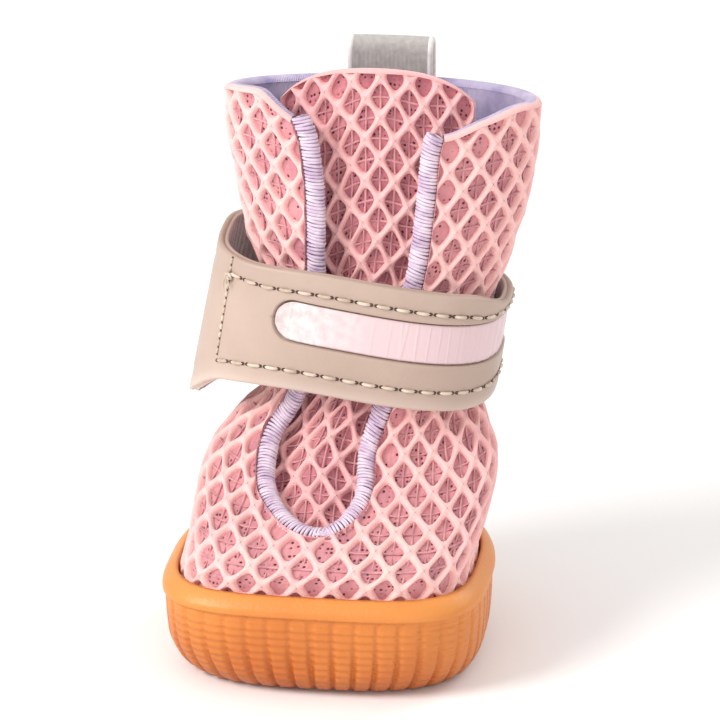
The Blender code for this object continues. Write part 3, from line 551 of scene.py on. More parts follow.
def strap_curve(key, turn):
    wrapped = (np.asarray(turn) + math.pi) % math.tau - math.pi
    return np.interp(wrapped, np.radians(DEGREES), STRAP_CURVES[key])


def strap_span(turn):
    """Heights of the strap's bottom and top edges from its middle."""
    return -STRAP_HEIGHT * (0.5 + strap_curve("bottom", turn)), STRAP_HEIGHT * (0.5 + strap_curve("top", turn))


def strap_at(turn, z, inset):
    """Points of the strap by turn, height from its middle before the tilt, and inset."""
    turn, z, inset = np.broadcast_arrays(turn, z, inset)
    bottom, top = strap_span(turn)
    flare = STRAP_FLARE * strap_curve("flare", turn) * (1.0 - (z - bottom) / (top - bottom))
    front = section_at(STRAP_MIDDLE_HEIGHT, "front") - GAP - STRAP_FRONT_ROOM - STRAP_THICKNESS + inset
    back = section_at(STRAP_MIDDLE_HEIGHT, "back") + 2.0 * GAP + STRAP_THICKNESS - inset
    half_width = STRAP_HALF_WIDTH - inset + flare
    wrapped = (turn + math.pi) % math.tau - math.pi
    x, y = egg(wrapped, half_width, front, back, SHAFT_SET_BACK, STRAP_FRONT_SQUARE, STRAP_BACK_SQUARE)
    tilted_x = x * math.cos(STRAP_TILT) + z * math.sin(STRAP_TILT)
    tilted_z = z * math.cos(STRAP_TILT) - x * math.sin(STRAP_TILT)
    lean = section_at(STRAP_MIDDLE_HEIGHT, "lean")
    return np.stack([lean + STRAP_SHIFT + SHIFT_X + tilted_x, y, STRAP_MIDDLE_HEIGHT + tilted_z], axis=-1)


def strap_outward(turn, z):
    step = 0.02
    across = strap_at(turn + step, z, 0.0) - strap_at(turn - step, z, 0.0)
    upward = strap_at(turn, z + GAP, 0.0) - strap_at(turn, z - GAP, 0.0)
    return unit(np.cross(across, upward))


def colour(value):
    """A linear colour from sRGB numbers out of 255."""
    shares = [number / 255.0 for number in value]
    return (*[s / 12.92 if s <= 0.04045 else ((s + 0.055) / 1.055) ** 2.4 for s in shares], 1.0)


class Paint:
    """A new material, with short ways to add its shader nodes."""

    def __init__(self, name, roughness, sheen=0.0, specular=0.5, **more):
        self.material = bpy.data.materials.new(name)
        self.material.use_nodes = True
        self.tree = self.material.node_tree
        self.shader = self.tree.nodes["Principled BSDF"]
        plain = {"Roughness": roughness, "Sheen Weight": sheen, "Sheen Roughness": 0.5, "Specular IOR Level": specular}
        for key, value in {**plain, **more}.items():
            self.feed(self.shader.inputs[key.replace("_", " ")], value)

    def feed(self, socket, value):
        """Links a socket to another one, or sets it to a value."""
        if isinstance(value, bpy.types.NodeSocket):
            self.tree.links.new(value, socket)
        else:
            socket.default_value = value

    def node(self, kind, inputs):
        made = self.tree.nodes.new("ShaderNode" + kind)
        for key, value in inputs.items():
            self.feed(made.inputs[key], value)
        return made

    def ramp(self, factor, *stops):
        """A colour ramp from (place, sRGB) stops."""
        made = self.node("ValToRGB", {"Fac": factor})
        elements = made.color_ramp.elements
        while len(elements) < len(stops):
            elements.new(0.5)
        for element, (place, value) in zip(elements, stops):
            element.position = place
            element.color = colour(value)
        return made.outputs["Color"]

    def blend(self, factor, first, second, mode="MIX"):
        made = self.tree.nodes.new("ShaderNodeMix")
        made.data_type = "RGBA"
        made.blend_type = mode
        for index, value in ((0, factor), (6, first), (7, second)):
            self.feed(made.inputs[index], value)
        return made.outputs[2]

    def maths(self, operation, first, second):
        made = self.node("Math", {0: first, 1: second})
        made.operation = operation
        return made.outputs[0]

    def where(self, kind):
        return self.node("TexCoord", {}).outputs[kind]

    def part(self, kind, axis):
        return self.node("SeparateXYZ", {"Vector": self.where(kind)}).outputs[axis]

    def grain(self, scale, detail=2.0):
        inputs = {"Scale": scale, "Detail": detail, "Vector": self.where("Object")}
        return self.node("TexNoise", inputs).outputs[0]

    def waves(self, scale, direction, distortion=0.0, kind="UV"):
        made = self.node("TexWave", {"Vector": self.where(kind), "Scale": scale, "Distortion": distortion})
        made.bands_direction = direction
        return made.outputs["Fac"]

    def done(self, base, height=None, strength=1.0, distance=0.0):
        """The material, with its colour and bumps linked."""
        self.feed(self.shader.inputs["Base Color"], base)
        if height:
            made = self.node("Bump", {"Height": height, "Strength": strength, "Distance": distance})
            self.feed(self.shader.inputs["Normal"], made.outputs["Normal"])
        return self.material


def net_material(name, light, warm):
    """Smooth knitted strands: fine yarns across, soft mottling between two pinks."""
    paint = Paint(name, 0.62, 0.25, 0.35)
    mottled = paint.ramp(paint.grain(60.0, 3.0), (0.35, light), (0.65, warm))
    fine = paint.grain(2600.0)
    base = paint.blend(0.10, mottled, paint.ramp(fine, (0.3, (214, 138, 138)), (0.7, (255, 220, 216))))
    return paint.done(base, paint.maths("ADD", paint.waves(1.7, "Y", 1.0), fine), 0.5, 0.00008)


def backing_material(name, light, dark, hole):
    """Fine backing knit under the net, with rows of tiny openings painted dark with the shade inside them."""
    paint = Paint(name, 0.85, 0.3, 0.2)
    inputs = {"Vector": paint.where("UV"), "Scale": 1.45, "Randomness": 0.45}
    cells = paint.node("TexVoronoi", inputs).outputs["Distance"]
    mottled = paint.ramp(paint.grain(140.0, 3.0), (0.35, light), (0.68, dark))
    # Painted shade: the openings get the dark hole colour for the shade seen through them.
    openings = paint.ramp(cells, (0.20, WHITE), (0.34, BLACK))
    rare = paint.ramp(paint.grain(700.0, 1.0), (0.38, BLACK), (0.50, WHITE))
    share = paint.blend(1.0, openings, rare, "MULTIPLY")
    return paint.done(paint.blend(share, mottled, colour(hole)), cells, 0.8, 0.00025)


def knit_material(name, light, dark, scale=1.6):
    """Soft lining knit with fine ribs."""
    paint = Paint(name, 0.9, 0.5, 0.2)
    base = paint.ramp(paint.grain(320.0, 4.0), (0.32, dark), (0.66, light))
    height = paint.maths("ADD", paint.waves(scale, "X", 2.0), paint.grain(1500.0, 3.0))
    return paint.done(base, height, 0.7, 0.00015)


def thread_material(name, light, dark):
    paint = Paint(name, 0.7, 0.4, 0.3)
    base = paint.ramp(paint.grain(500.0, 3.0), (0.34, dark), (0.62, light))
    return paint.done(base, paint.grain(4200.0), 0.6, 0.00008)


def leather_material(name):
    """Satin faux leather: fine pebbled grain, soft marks, and painted light that pales the strap toward its bottom
    edge.
    """
    paint = Paint(name, 0.46, specular=0.45, Coat_Weight=0.12, Coat_Roughness=0.35)
    base = paint.ramp(paint.grain(45.0, 4.0), (0.30, (168, 144, 130)), (0.70, (192, 169, 155)))
    # Painted light: the strap's bottom edge and lower band are paled, as where light falls on them.
    edge = paint.ramp(paint.part("UV", "Y"), (0.0, WHITE), (0.16, (90, 90, 90)), (0.24, BLACK))
    base_with_painted_light = paint.blend(edge, base, colour((220, 203, 191)))
    marks = paint.ramp(paint.grain(260.0, 5.0), (0.60, BLACK), (0.72, (70, 70, 70)))
    pebbles = paint.node("TexVoronoi", {"Vector": paint.where("Object"), "Scale": 2400.0}).outputs["Distance"]
    rough = paint.node("MapRange", {"Value": paint.grain(320.0, 3.0), "To Min": 0.38, "To Max": 0.56})
    paint.feed(paint.shader.inputs["Roughness"], rough.outputs[0])
    height = paint.maths("ADD", pebbles, paint.grain(900.0, 3.0))
    return paint.done(paint.blend(marks, base_with_painted_light, colour((160, 132, 116))), height, 0.30, 0.00006)


def tape_material(name):
    """Pearly reflective tape, silver where it is crinkled and pink elsewhere, with a painted shadow at its near end
    and painted glints in the crinkled patch.
    """
    paint = Paint(name, 0.34, specular=0.6, Metallic=0.05)
    along = paint.part("UV", "X")
    # Painted shadow: the first stop darkens the tape at its near end, where the window's rounded end shades it.
    pearl = paint.ramp(
        along, (0.0, (200, 186, 184)), (0.10, (220, 210, 210)), (0.21, (222, 194, 197)), (1.0, (218, 188, 192))
    )
    # Silver crinkle colour with painted glints: bright flecks where the crinkled tape catches light.
    silver_and_glint_flecks = paint.ramp(paint.grain(900.0, 4.0), (0.35, (196, 172, 172)), (0.62, (255, 244, 242)))
    patch = paint.ramp(along, (0.0, (150, 150, 150)), (0.15, (150, 150, 150)), (0.22, (18, 18, 18)))
    return paint.done(paint.blend(patch, pearl, silver_and_glint_flecks), paint.grain(1300.0, 3.0), 0.35, 0.00012)


def ribbon_material(name, light, dark):
    """Close woven ribbon with crosswise ribs, with painted shade darkening it toward its foot."""
    paint = Paint(name, 0.55, 0.3, 0.35)
    span = {"From Min": COLLAR_HEIGHT - 0.003, "From Max": COLLAR_HEIGHT + LOOP_RISE}
    up = paint.node("MapRange", {"Value": paint.part("Object", "Z"), **span}).outputs[0]
    weave = paint.ramp(paint.grain(1200.0), (0.3, (120, 112, 110)), (0.7, (236, 230, 226)))
    # Painted shade: from the light colour at the top of the loop down to the dark colour at its foot.
    base = paint.blend(0.18, paint.ramp(up, (0.0, dark), (1.0, light)), weave)
    return paint.done(base, paint.maths("ADD", paint.waves(2.6, "Y"), paint.waves(1.8, "X")), 0.6, 0.00012)


def rubber_material(name):
    """Gum rubber: warm, slightly translucent, with fine moulded lines round the ribbed side, painted shade toward the
    floor and a painted highlight toward the rim.
    """
    depth = {"Subsurface_Weight": 0.12, "Subsurface_Radius": (1.0, 0.45, 0.15), "Subsurface_Scale": 0.0015}
    paint = Paint(name, 0.42, **depth)
    up = paint.node("MapRange", {"Value": paint.part("Object", "Z"), "From Max": SOLE_RIM_HEIGHT}).outputs[0]
    # Painted shade and highlight: darker toward the floor, lightest at the rim's top.
    tall = paint.ramp(up, (0.0, (150, 70, 20)), (0.25, (196, 104, 34)), (0.78, (212, 122, 44)), (1.0, (226, 150, 74)))
    cloud = paint.ramp(paint.grain(70.0, 4.0), (0.3, (186, 94, 30)), (0.7, (228, 150, 70)))
    below = paint.ramp(up, (0.10, BLACK), (0.16, WHITE), (0.74, WHITE), (0.78, BLACK))
    lines = paint.maths("MULTIPLY", paint.waves(300.0, "Z", 0.6, "Object"), below)
    pits = paint.maths("MULTIPLY", paint.grain(1800.0, 3.0), 0.5)
    return paint.done(paint.blend(0.30, tall, cloud), paint.maths("ADD", lines, pits), 0.60, 0.00026)


def hole_material(name, value):
    paint = Paint(name, 0.9)
    return paint.done(paint.ramp(paint.grain(400.0), (0.3, value), (0.7, [number * 1.15 for number in value])))


class Bucket:
    """Points and faces gathered from many small shapes, for one joined mesh."""

    def __init__(self):
        self.points = []
        self.faces = []
        self.uvs = []
        self.kinds = []
        self.count = 0

    def add(self, points, faces, uvs=None, kind=0):
        points = np.asarray(points, float).reshape(-1, 3)
        self.points.append(points)
        self.faces.append(np.asarray(faces, int) + self.count)
        self.uvs.append(np.zeros((len(points), 2)) if uvs is None else np.asarray(uvs, float).reshape(-1, 2))
        self.kinds.append(np.full(len(faces), kind))
        self.count += len(points)

    def make(self, name, materials):
        mesh = bpy.data.meshes.new(name)
        faces = [tuple(face) for group in self.faces for face in group.tolist()]
        mesh.from_pydata(np.concatenate(self.points).tolist(), [], faces)
        mesh.update()
        layer = mesh.uv_layers.new(name="pattern")
        corners = np.zeros(len(mesh.loops), int)
        mesh.loops.foreach_get("vertex_index", corners)
        layer.data.foreach_set("uv", np.concatenate(self.uvs)[corners].ravel())
        for material in materials:
            mesh.materials.append(material)
        mesh.polygons.foreach_set("material_index", np.concatenate(self.kinds))
        mesh.shade_smooth()
        obj = bpy.data.objects.new(name, mesh)
        bpy.context.scene.collection.objects.link(obj)
        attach(obj, "root")
        return obj


def grid_faces(rows, columns, closed=False, looped=False):
    """Quads of a grid of points stored row by row, closed along its rows or looped from the last to the first."""
    row = np.arange(rows if looped else rows - 1)[:, None] * columns
    column = np.arange(columns if closed else columns - 1)[None, :]
    low = (row + column).ravel()
    after = (row + (column + 1) % columns).ravel()
    return np.stack([low, after, after + columns, low + columns], axis=1) % (rows * columns)


def grid_uv(rows, columns, wide=1.0, tall=1.0):
    u, v = np.meshgrid(np.linspace(0.0, wide, columns), np.linspace(0.0, tall, rows))
    return np.stack([u, v], axis=-1).reshape(-1, 2)


def tube(path, radius, sides, reference, closed=False):
    """Points and faces of a thread along a path."""
    path = np.asarray(path, float)
    if closed:
        along = unit(np.roll(path, -1, axis=0) - np.roll(path, 1, axis=0))
    else:
        along = unit(np.gradient(path, axis=0))
    reference = np.broadcast_to(reference, path.shape)
    first = unit(reference - along * np.sum(reference * along, axis=1, keepdims=True))[:, None, :]
    second = np.cross(along, first[:, 0])[:, None, :]
    turns = circle(sides)[None, :, None]
    ring = first * np.cos(turns) + second * np.sin(turns)
    points = path[:, None, :] + ring * np.broadcast_to(radius, len(path))[:, None, None]
    return points.reshape(-1, 3), grid_faces(len(path), sides, True, closed)


def weld(obj):
    """Joins points that lie on each other and drops faces without area."""
    modifier = obj.modifiers.new("weld", "WELD")
    modifier.merge_threshold = 0.000002
    graph = bpy.context.evaluated_depsgraph_get()
    mesh = bpy.data.meshes.new_from_object(obj.evaluated_get(graph))
    obj.modifiers.clear()
    old = obj.data
    obj.data = mesh
    bpy.data.meshes.remove(old)


def flat_pattern(skin, params, start=0.0, even=0.0):
    """Where points of a skin lie when it is laid flat: girth from a start line, and length up it.

    The even share draws both toward their means, so that the mesh stretches a little instead of slanting.
    """
    half = np.linalg.norm(np.diff(skin.places, axis=1), axis=2).sum(axis=1) / 2.0
    up = run_lengths(skin.places)
    up = mix(up, up.mean(axis=1, keepdims=True), even)
    wide = np.interp(params[:, 1], skin.vs, half)
    across = (params[:, 0] - start) * mix(wide, wide.mean(), even)
    return np.stack([across, skin.read_one(up[..., None], params[:, 0], params[:, 1])[..., 0]], axis=1)


def net_cells(flat, phase):
    """Points of every net cell in the flat pattern: cells, rings, sides."""
    a = np.array([NET_HALF_WIDE, NET_HALF_TALL])
    b = np.array([-NET_HALF_WIDE, NET_HALF_TALL])
    low = flat.min(axis=0) - 3.0 * MM
    high = flat.max(axis=0) + 3.0 * MM
    most = int(np.abs([low, high]).max() / NET_HALF_WIDE) + 2
    steps = np.arange(-most, most + 1)
    i, j = [grid.ravel() for grid in np.meshgrid(steps, steps)]
    centres = i[:, None] * a + j[:, None] * b + np.array(phase)
    centres = centres[np.all((centres > low) & (centres < high), axis=1)]
    c = np.cos(circle(NET_SIDES))
    s = np.sin(circle(NET_SIDES))
    rings = []
    for share, square in zip(NET_RINGS["share"], NET_RINGS["square"]):
        reach = share / (np.abs(c) ** square + np.abs(s) ** square) ** (1.0 / square)
        rings.append((reach * c)[:, None] * a / 2.0 + (reach * s)[:, None] * b / 2.0)
    return centres[:, None, None, :] + np.array(rings)[None]


def make_net(name, skin, flat, params, faces, material, phase):
    """The open net over a piece of mesh, each strand rounded and each hole sunk to the backing."""
    triangles = np.concatenate([faces[:, [0, 1, 2]], faces[:, [0, 2, 3]]])
    tree = BVHTree.FromPolygons([(x, y, 0.0) for x, y in flat], triangles.tolist())
    cells = net_cells(flat, phase)
    nearest = [tree.find_nearest((x, y, 0.0)) for x, y in cells.reshape(-1, 2).tolist()]
    found = np.array([tuple(place)[:2] for place, _, _, _ in nearest])
    index = np.array([face for _, _, face, _ in nearest])
    inside = (np.array([away for _, _, _, away in nearest]) < 1e-6).reshape(len(cells), -1)
    keep = inside.any(axis=1)
    count = int(keep.sum())
    rings = len(NET_RINGS["share"])
    per = rings * NET_SIDES
    found = found[np.repeat(keep, per)]
    hit = triangles[index[np.repeat(keep, per)]]
    corner = flat[hit]
    first = corner[:, 1] - corner[:, 0]
    second = corner[:, 2] - corner[:, 0]
    offset = found - corner[:, 0]
    area = first[:, 0] * second[:, 1] - first[:, 1] * second[:, 0]
    area = np.where(np.abs(area) < 1e-14, 1e-14, area)
    w1 = np.clip((offset[:, 0] * second[:, 1] - offset[:, 1] * second[:, 0]) / area, 0.0, 1.0)
    w2 = np.clip((first[:, 0] * offset[:, 1] - first[:, 1] * offset[:, 0]) / area, 0.0, 1.0)
    weights = np.stack([1.0 - w1 - w2, w1, w2], axis=1)
    lifts = np.tile(np.repeat(NET_RINGS["lift"], NET_SIDES), count)
    points = skin.place((params[hit] * weights[..., None]).sum(axis=1), -lifts)
    one = grid_faces(rings, NET_SIDES, closed=True)
    bucket = Bucket()
    bucket.add(points, (one[None] + (np.arange(count) * per)[:, None, None]).reshape(-1, 4), found / MM)
    weld(bucket.make(name, [material]))
    add_spacer_yarns(name, points.reshape(-1, rings, NET_SIDES, 3)[inside[keep].all(axis=1)])


def add_spacer_yarns(name, cells):
    """Two thin yarns that cross each hole of the net, a little above the backing."""
    bucket = Bucket()
    quarter = NET_SIDES // 4
    for cell in cells:
        ring = cell[3]
        for side in (quarter // 2, quarter + quarter // 2):
            path = np.linspace(ring[side], ring[side + 2 * quarter], 4)
            path[1:3] += (ring.mean(axis=0) - cell[0].mean(axis=0)) * 0.5
            bucket.add(*tube(path, SPACER_YARN, 4, ring[0] - ring.mean(axis=0)))
    bucket.make(name + "_yarns", [thread_material(name + "_yarn", (222, 160, 162), (190, 124, 132))])


def add_layers(bucket, skin, flat, params, faces, wall):
    """Backing and lining of a piece of mesh."""
    bucket.add(skin.place(params, BACKING_INSET), faces, flat / MM, 0)
    bucket.add(skin.place(params, wall), faces[:, ::-1], flat / MM, 1)


def shaft_grid(heights, columns):
    """The shaft in one band, from the throat's right edge round the back to its left edge."""
    params = []
    for height in heights:
        f = np.linspace(edge_point(height, 1.0)[0], 2.0 + edge_point(height, -1.0)[0], columns)
        params.append(np.stack([f, lifted(f, height)], axis=1))
    return np.concatenate(params), grid_faces(len(heights), columns)


def foot_grid(heights, columns):
    """Both halves of the foot, from the heel's seam to the throat's edges, joined below the throat."""
    params = []
    index = np.zeros((len(heights), 2 * columns), int)
    for row, height in enumerate(heights):
        left = np.linspace(-1.0, edge_point(height, -1.0)[0], columns)
        right = np.linspace(edge_point(height, 1.0)[0], 1.0, columns)
        joined = height <= THROAT_LOW_HEIGHT + 1e-9
        for place, f in enumerate(np.concatenate([left, right])):
            if place == columns and joined:
                index[row, place] = index[row, place - 1]
                continue
            index[row, place] = len(params)
            params.append((f, float(lifted(np.array([f]), height)[0])))
    faces = []
    for low, high in zip(index, index[1:]):
        for place in range(2 * columns - 1):
            if place != columns - 1:
                faces.append((low[place], low[place + 1], high[place + 1], high[place]))
    return np.array(params), np.array(faces)


def throat_heights():
    """Heights up the throat from its U, closer together round the U, to the strap."""
    round_top = mix(THROAT_LOW_HEIGHT, COLLAR_HEIGHT, THROAT_ROUND_SHARE)
    turns = np.linspace(0.0, math.pi / 2.0, 13)[1:]
    curved = THROAT_LOW_HEIGHT + (round_top - THROAT_LOW_HEIGHT) * (1.0 - np.cos(turns))
    return np.concatenate([curved, np.linspace(round_top, STRAP_SEAM_HEIGHT, 28)[1:]])


SHAFT_HEIGHTS = np.linspace(STRAP_SEAM_HEIGHT, COLLAR_HEIGHT, 46)


def throat_line():
    """Girth shares and heights along the throat's edge, from the top of the left flap round the U."""
    heights = [THROAT_LOW_HEIGHT, *throat_heights(), *SHAFT_HEIGHTS[1:]]
    left = [edge_point(height, -1.0) for height in heights[::-1]]
    return np.array(left + [edge_point(height, 1.0) for height in heights[1:]])


def build_upper():
    """Backing, lining, rolled collar edge and the open net of the upper."""
    foot = np.concatenate([np.linspace(SOLE_RIM_HEIGHT - CUP_TUCK, THROAT_LOW_HEIGHT, 15), throat_heights()])
    backing = backing_material("mesh_backing", (216, 152, 156), (190, 126, 136), (84, 36, 50))
    lining = knit_material("lavender_lining", (212, 198, 226), (166, 152, 196))
    net = net_material("mesh_strands", (252, 194, 192), (254, 202, 196))
    bucket = Bucket()
    bands = (
        ("foot", foot_grid(foot, UPPER_COLUMNS), 0.0, (0.0, 0.0)),
        ("shaft", shaft_grid(SHAFT_HEIGHTS, 2 * UPPER_COLUMNS), 1.0, (0.4 * MM, 0.6 * MM)),
    )
    for name, (params, faces), start, phase in bands:
        flat = flat_pattern(UPPER, params, start, MESH_STRETCH)
        add_layers(bucket, UPPER, flat, params, faces, UPPER_WALL)
        make_net("upper_net_" + name, UPPER, flat, params, faces, net, phase)
    add_collar_roll(bucket, params[-2 * UPPER_COLUMNS:])
    line = throat_line()
    points = [UPPER.place(line, depth) for depth in (0.0, BACKING_INSET, UPPER_WALL)]
    bucket.add(points, grid_faces(3, len(line)))
    shell = bucket.make("upper_backing", [backing, lining, net])
    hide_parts("upper")


def add_collar_roll(bucket, rim):
    """The padded edge of the collar, rolled from the net over to the lining."""
    steps = 9
    points = []
    for turn in np.linspace(0.0, math.pi, steps):
        depth = UPPER_WALL / 2.0 * (1.0 - math.cos(turn)) - 0.08 * MM * math.cos(turn)
        place = UPPER.place(rim, depth)
        place[:, 2] += 0.7 * MM * math.sin(turn)
        points.append(place)
    faces = grid_faces(steps, len(rim))
    net_faces = (len(rim) - 1) * 3
    spots = grid_uv(steps, len(rim), 60.0, 3.0)
    bucket.add(points, faces[:net_faces], spots, 2)
    bucket.add(points, faces[net_faces:], spots, 1)


def resample(points, pitch, *others):
    """Points at an even pitch along a path, and other columns of numbers read at the same places."""
    lengths = run_lengths(points)
    wanted = np.linspace(0.0, lengths[-1], int(lengths[-1] / pitch) + 1)
    tables = (points, *others)
    return [np.stack([np.interp(wanted, lengths, column) for column in table.T], axis=1) for table in tables]


def build_edging():
    """Overlock along the throat: a soft core under close slanting wraps of thread, the core painted darker as the
    shade between the wraps.
    """
    line = throat_line()
    places, outwards = UPPER.read(line[:, 0], line[:, 1])
    inward = unit(np.cross(outwards, unit(np.gradient(places, axis=0))))
    centres = places - outwards * (UPPER_WALL / 2.0) + inward * (EDGING_RADIUS + GAP)
    centres, outwards, inward = resample(centres, WRAP_PITCH, outwards, inward)
    outwards = unit(outwards)
    inward = unit(inward)
    along = unit(np.gradient(centres, axis=0))
    # Painted shade: the core is a darker copy of the wrap's lavender, for the shade between the wraps.
    core = thread_material("overlock_core", (172, 146, 172), (126, 102, 132))
    wrap = thread_material("overlock_thread", (230, 212, 226), (194, 168, 196))
    bucket = Bucket()
    end = EDGING_RADIUS * EDGING_END_SHARE
    core_path = np.concatenate([[centres[0] - along[0] * end], centres, [centres[-1] + along[-1] * end]])
    core_radius = np.full(len(core_path), EDGING_RADIUS * EDGING_CORE_SHARE)
    core_radius[[0, -1]] = 0.0
    bucket.add(*tube(core_path, core_radius, 10, np.concatenate([outwards[:1], outwards, outwards[-1:]])))
    turns = circle(18)
    rng = np.random.default_rng(7)
    for centre, out, side, ahead in zip(centres, outwards, inward, along):
        wide = EDGING_RADIUS * (0.88 + 0.10 * rng.random())
        tall = EDGING_RADIUS * (0.76 + 0.10 * rng.random())
        slant = WRAP_PITCH * (0.25 + 0.45 * rng.random())
        loop = centre - side * WRAP_SHIFT + side * (wide * np.cos(turns))[:, None]
        loop = loop + out * (tall * np.sin(turns))[:, None]
        loop = loop + ahead * (slant * np.cos(turns + 0.4 * rng.random()))[:, None]
        bucket.add(*tube(loop, WRAP_THREAD * (0.9 + 0.2 * rng.random()), 6, ahead, closed=True), kind=1)
    edging = bucket.make("overlock_edging", [core, wrap])
    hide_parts("throat_edging")


def build_tongue():
    """Padded tongue: backing, lining and the same net, with a turned edge."""
    skin = tongue_skin()
    acrosses = np.linspace(-1.0, 1.0, 41)
    ups = np.linspace(0.0, 1.0, 91)
    params = np.stack([grid.ravel() for grid in np.meshgrid(acrosses, ups)], axis=1)
    faces = grid_faces(len(ups), len(acrosses))
    flat = flat_pattern(skin, params)
    net = net_material("tongue_strands", (250, 186, 186), (252, 194, 190))
    backing = backing_material("tongue_backing", (204, 134, 140), (172, 104, 116), (76, 28, 42))
    lining = knit_material("tongue_lining", (210, 196, 224), (166, 152, 196))
    bucket = Bucket()
    add_layers(bucket, skin, flat, params, faces, TONGUE_THICKNESS)
    left = [(-1.0, up) for up in ups]
    top = [(across, 1.0) for across in acrosses[1:]]
    right = [(1.0, up) for up in ups[-2::-1]]
    bottom = [(across, 0.0) for across in acrosses[-2::-1]]
    rim = np.array(left + top + right + bottom)
    middle_line = skin.read(np.zeros(len(rim)), np.clip(rim[:, 1], 0.02, 0.95))[0]
    steps = 7
    points = []
    for turn in np.linspace(0.0, math.pi, steps):
        place = skin.place(rim, TONGUE_THICKNESS / 2.0 * (1.0 - math.cos(turn)))
        points.append(place + unit(place - middle_line) * (0.5 * MM * math.sin(turn)))
    bucket.add(points, grid_faces(steps, len(rim)), grid_uv(steps, len(rim), 120.0, 3.0), 2)
    body = bucket.make("tongue_backing", [backing, lining, net])
    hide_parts("tongue")
    make_net("tongue_net", skin, flat, params, faces, net, (0.9 * MM, 0.4 * MM))


def window_half(turn, clearance=0.0):
    """Half the window's height at a turn, rounded at its ends, and 0 beyond them."""
    slack = clearance / STRAP_HALF_WIDTH
    from_end = np.minimum(turn - WINDOW_START - slack, WINDOW_END - slack - turn)
    share = np.clip(from_end / (WINDOW_HEIGHT / 2.0 / STRAP_HALF_WIDTH), 0.0, 1.0)
    return (WINDOW_HEIGHT / 2.0 - clearance) * np.sqrt(1.0 - (1.0 - share) ** 2)


def strap_columns():
    """Turns round the strap, closer together at the window's rounded ends."""
    plain = np.linspace(-math.pi, math.pi, 321)[:-1]
    ease = WINDOW_HEIGHT / 2.0 / STRAP_HALF_WIDTH * (1.0 - np.cos(np.linspace(0.0, math.pi / 2.0, 12)))
    kept = plain[(np.abs(plain - WINDOW_START) > 0.01) & (np.abs(plain - WINDOW_END) > 0.01)]
    return np.unique(np.round(np.concatenate([kept, WINDOW_START + ease, WINDOW_END - ease]), 7))


def build_strap():
    """Ankle strap: two layers with a groove between their edges, a sunk window and stitch puckers."""
    turns = strap_columns()
    bottom, top = strap_span(turns)
    half = window_half(turns)
    opened = (half > 0.0).astype(float)

    def rows_in(edge, lip, inward):
        """Heights and insets from one edge of the strap in to the window's lip."""
        made = [(edge + inward * step, inset) for step, inset in STRAP_EDGE_ROWS]
        for share in np.linspace(0.06, 0.96, 12):
            z = mix(edge + inward * STRAP_ROUND, lip - inward * WINDOW_LIP_EASE * opened, share)
            puckers = bump_at(z - bottom, STITCH_INSET, 0.55 * MM) + bump_at(top - z, STITCH_INSET, 0.55 * MM)
            made.append((z, 0.10 * MM * puckers))
        return made + [(lip - inward * step * opened, inset * opened) for step, inset in WINDOW_LIP_ROWS]

    rows = rows_in(bottom, WINDOW_RISE - half, 1.0) + rows_in(top, WINDOW_RISE + half, -1.0)[::-1]
    outer_rows = len(rows)
    rows += [(mix(bottom, top, share), STRAP_THICKNESS) for share in (0.8, 0.6, 0.4, 0.2)]
    points = np.array([strap_at(turns, z, inset) for z, inset in rows])
    columns = len(turns)
    faces = grid_faces(len(rows), columns, True, True)
    rising = run_lengths(points[:outer_rows])
    spots = np.full((len(rows), columns, 2), 0.5)
    spots[..., 0] = np.linspace(0.0, 1.0, columns)[None, :]
    spots[:outer_rows, :, 1] = rising / rising[-1]
    leather = leather_material("faux_leather")
    inner = knit_material("strap_lining", (190, 184, 184), (142, 137, 140), 0.9)
    bucket = Bucket()
    first = (outer_rows - 1) * columns
    bucket.add(points, faces[:first], spots, 0)
    bucket.add(points, faces[first:], spots * 30.0, 1)
    strap = bucket.make("ankle_strap", [leather, inner])
    weld(strap)
    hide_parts("strap")


def build_reflective_strip():
    """The tape in the window, crinkled toward its near end, with a few cross folds."""
    columns = 420
    rows = 22
    slack = 0.25 * MM
    start = WINDOW_START + slack / STRAP_HALF_WIDTH
    end = WINDOW_END - slack / STRAP_HALF_WIDTH
    ease = 0.5 - 0.5 * np.cos(np.linspace(0.02, 1.0, columns) * math.pi)
    turns = mix(start, end, mix(np.linspace(0.0, 1.0, columns), ease, 0.25))
    half = np.maximum(window_half(turns, slack), 0.1 * MM)
    z = WINDOW_RISE + np.linspace(-1.0, 1.0, rows)[:, None] * half[None, :]
    patch = bump_at(turns, math.radians(-11.0), math.radians(8.0))
    crinkle = np.zeros(z.shape)
    for row in range(rows):
        for column, turn in enumerate(turns):
            up = z[row, column] / MM
            folds = abs(noise.noise(Vector((turn * 19.0, up, 0.0)) * 1.5)) * 0.28 * patch[column]
            lines = abs(noise.noise(Vector((turn * 11.0, up * 0.02, 4.0))))
            crinkle[row, column] = folds + 0.10 * math.exp(-((lines / 0.05) ** 2))
    outer = strap_at(turns, z, 0.36 * MM - crinkle * MM * 0.6)
    inner = strap_at(turns, z, 0.62 * MM)
    faces = grid_faces(rows, columns)
    size = rows * columns
    index = np.arange(size).reshape(rows, columns)
    rim = np.concatenate([index[0], index[1:, -1], index[-1, -2::-1], index[-2:0:-1, 0]])
    after = np.roll(rim, -1)
    sides = np.stack([after, rim, rim + size, after + size], axis=1)
    bucket = Bucket()
    spots = np.concatenate([grid_uv(rows, columns), grid_uv(rows, columns)])
    bucket.add([outer, inner], np.concatenate([faces, faces[:, ::-1] + size, sides]), spots)
    strip = bucket.make("reflective_tape", [tape_material("reflective_tape")])
    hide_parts("reflective_strip")


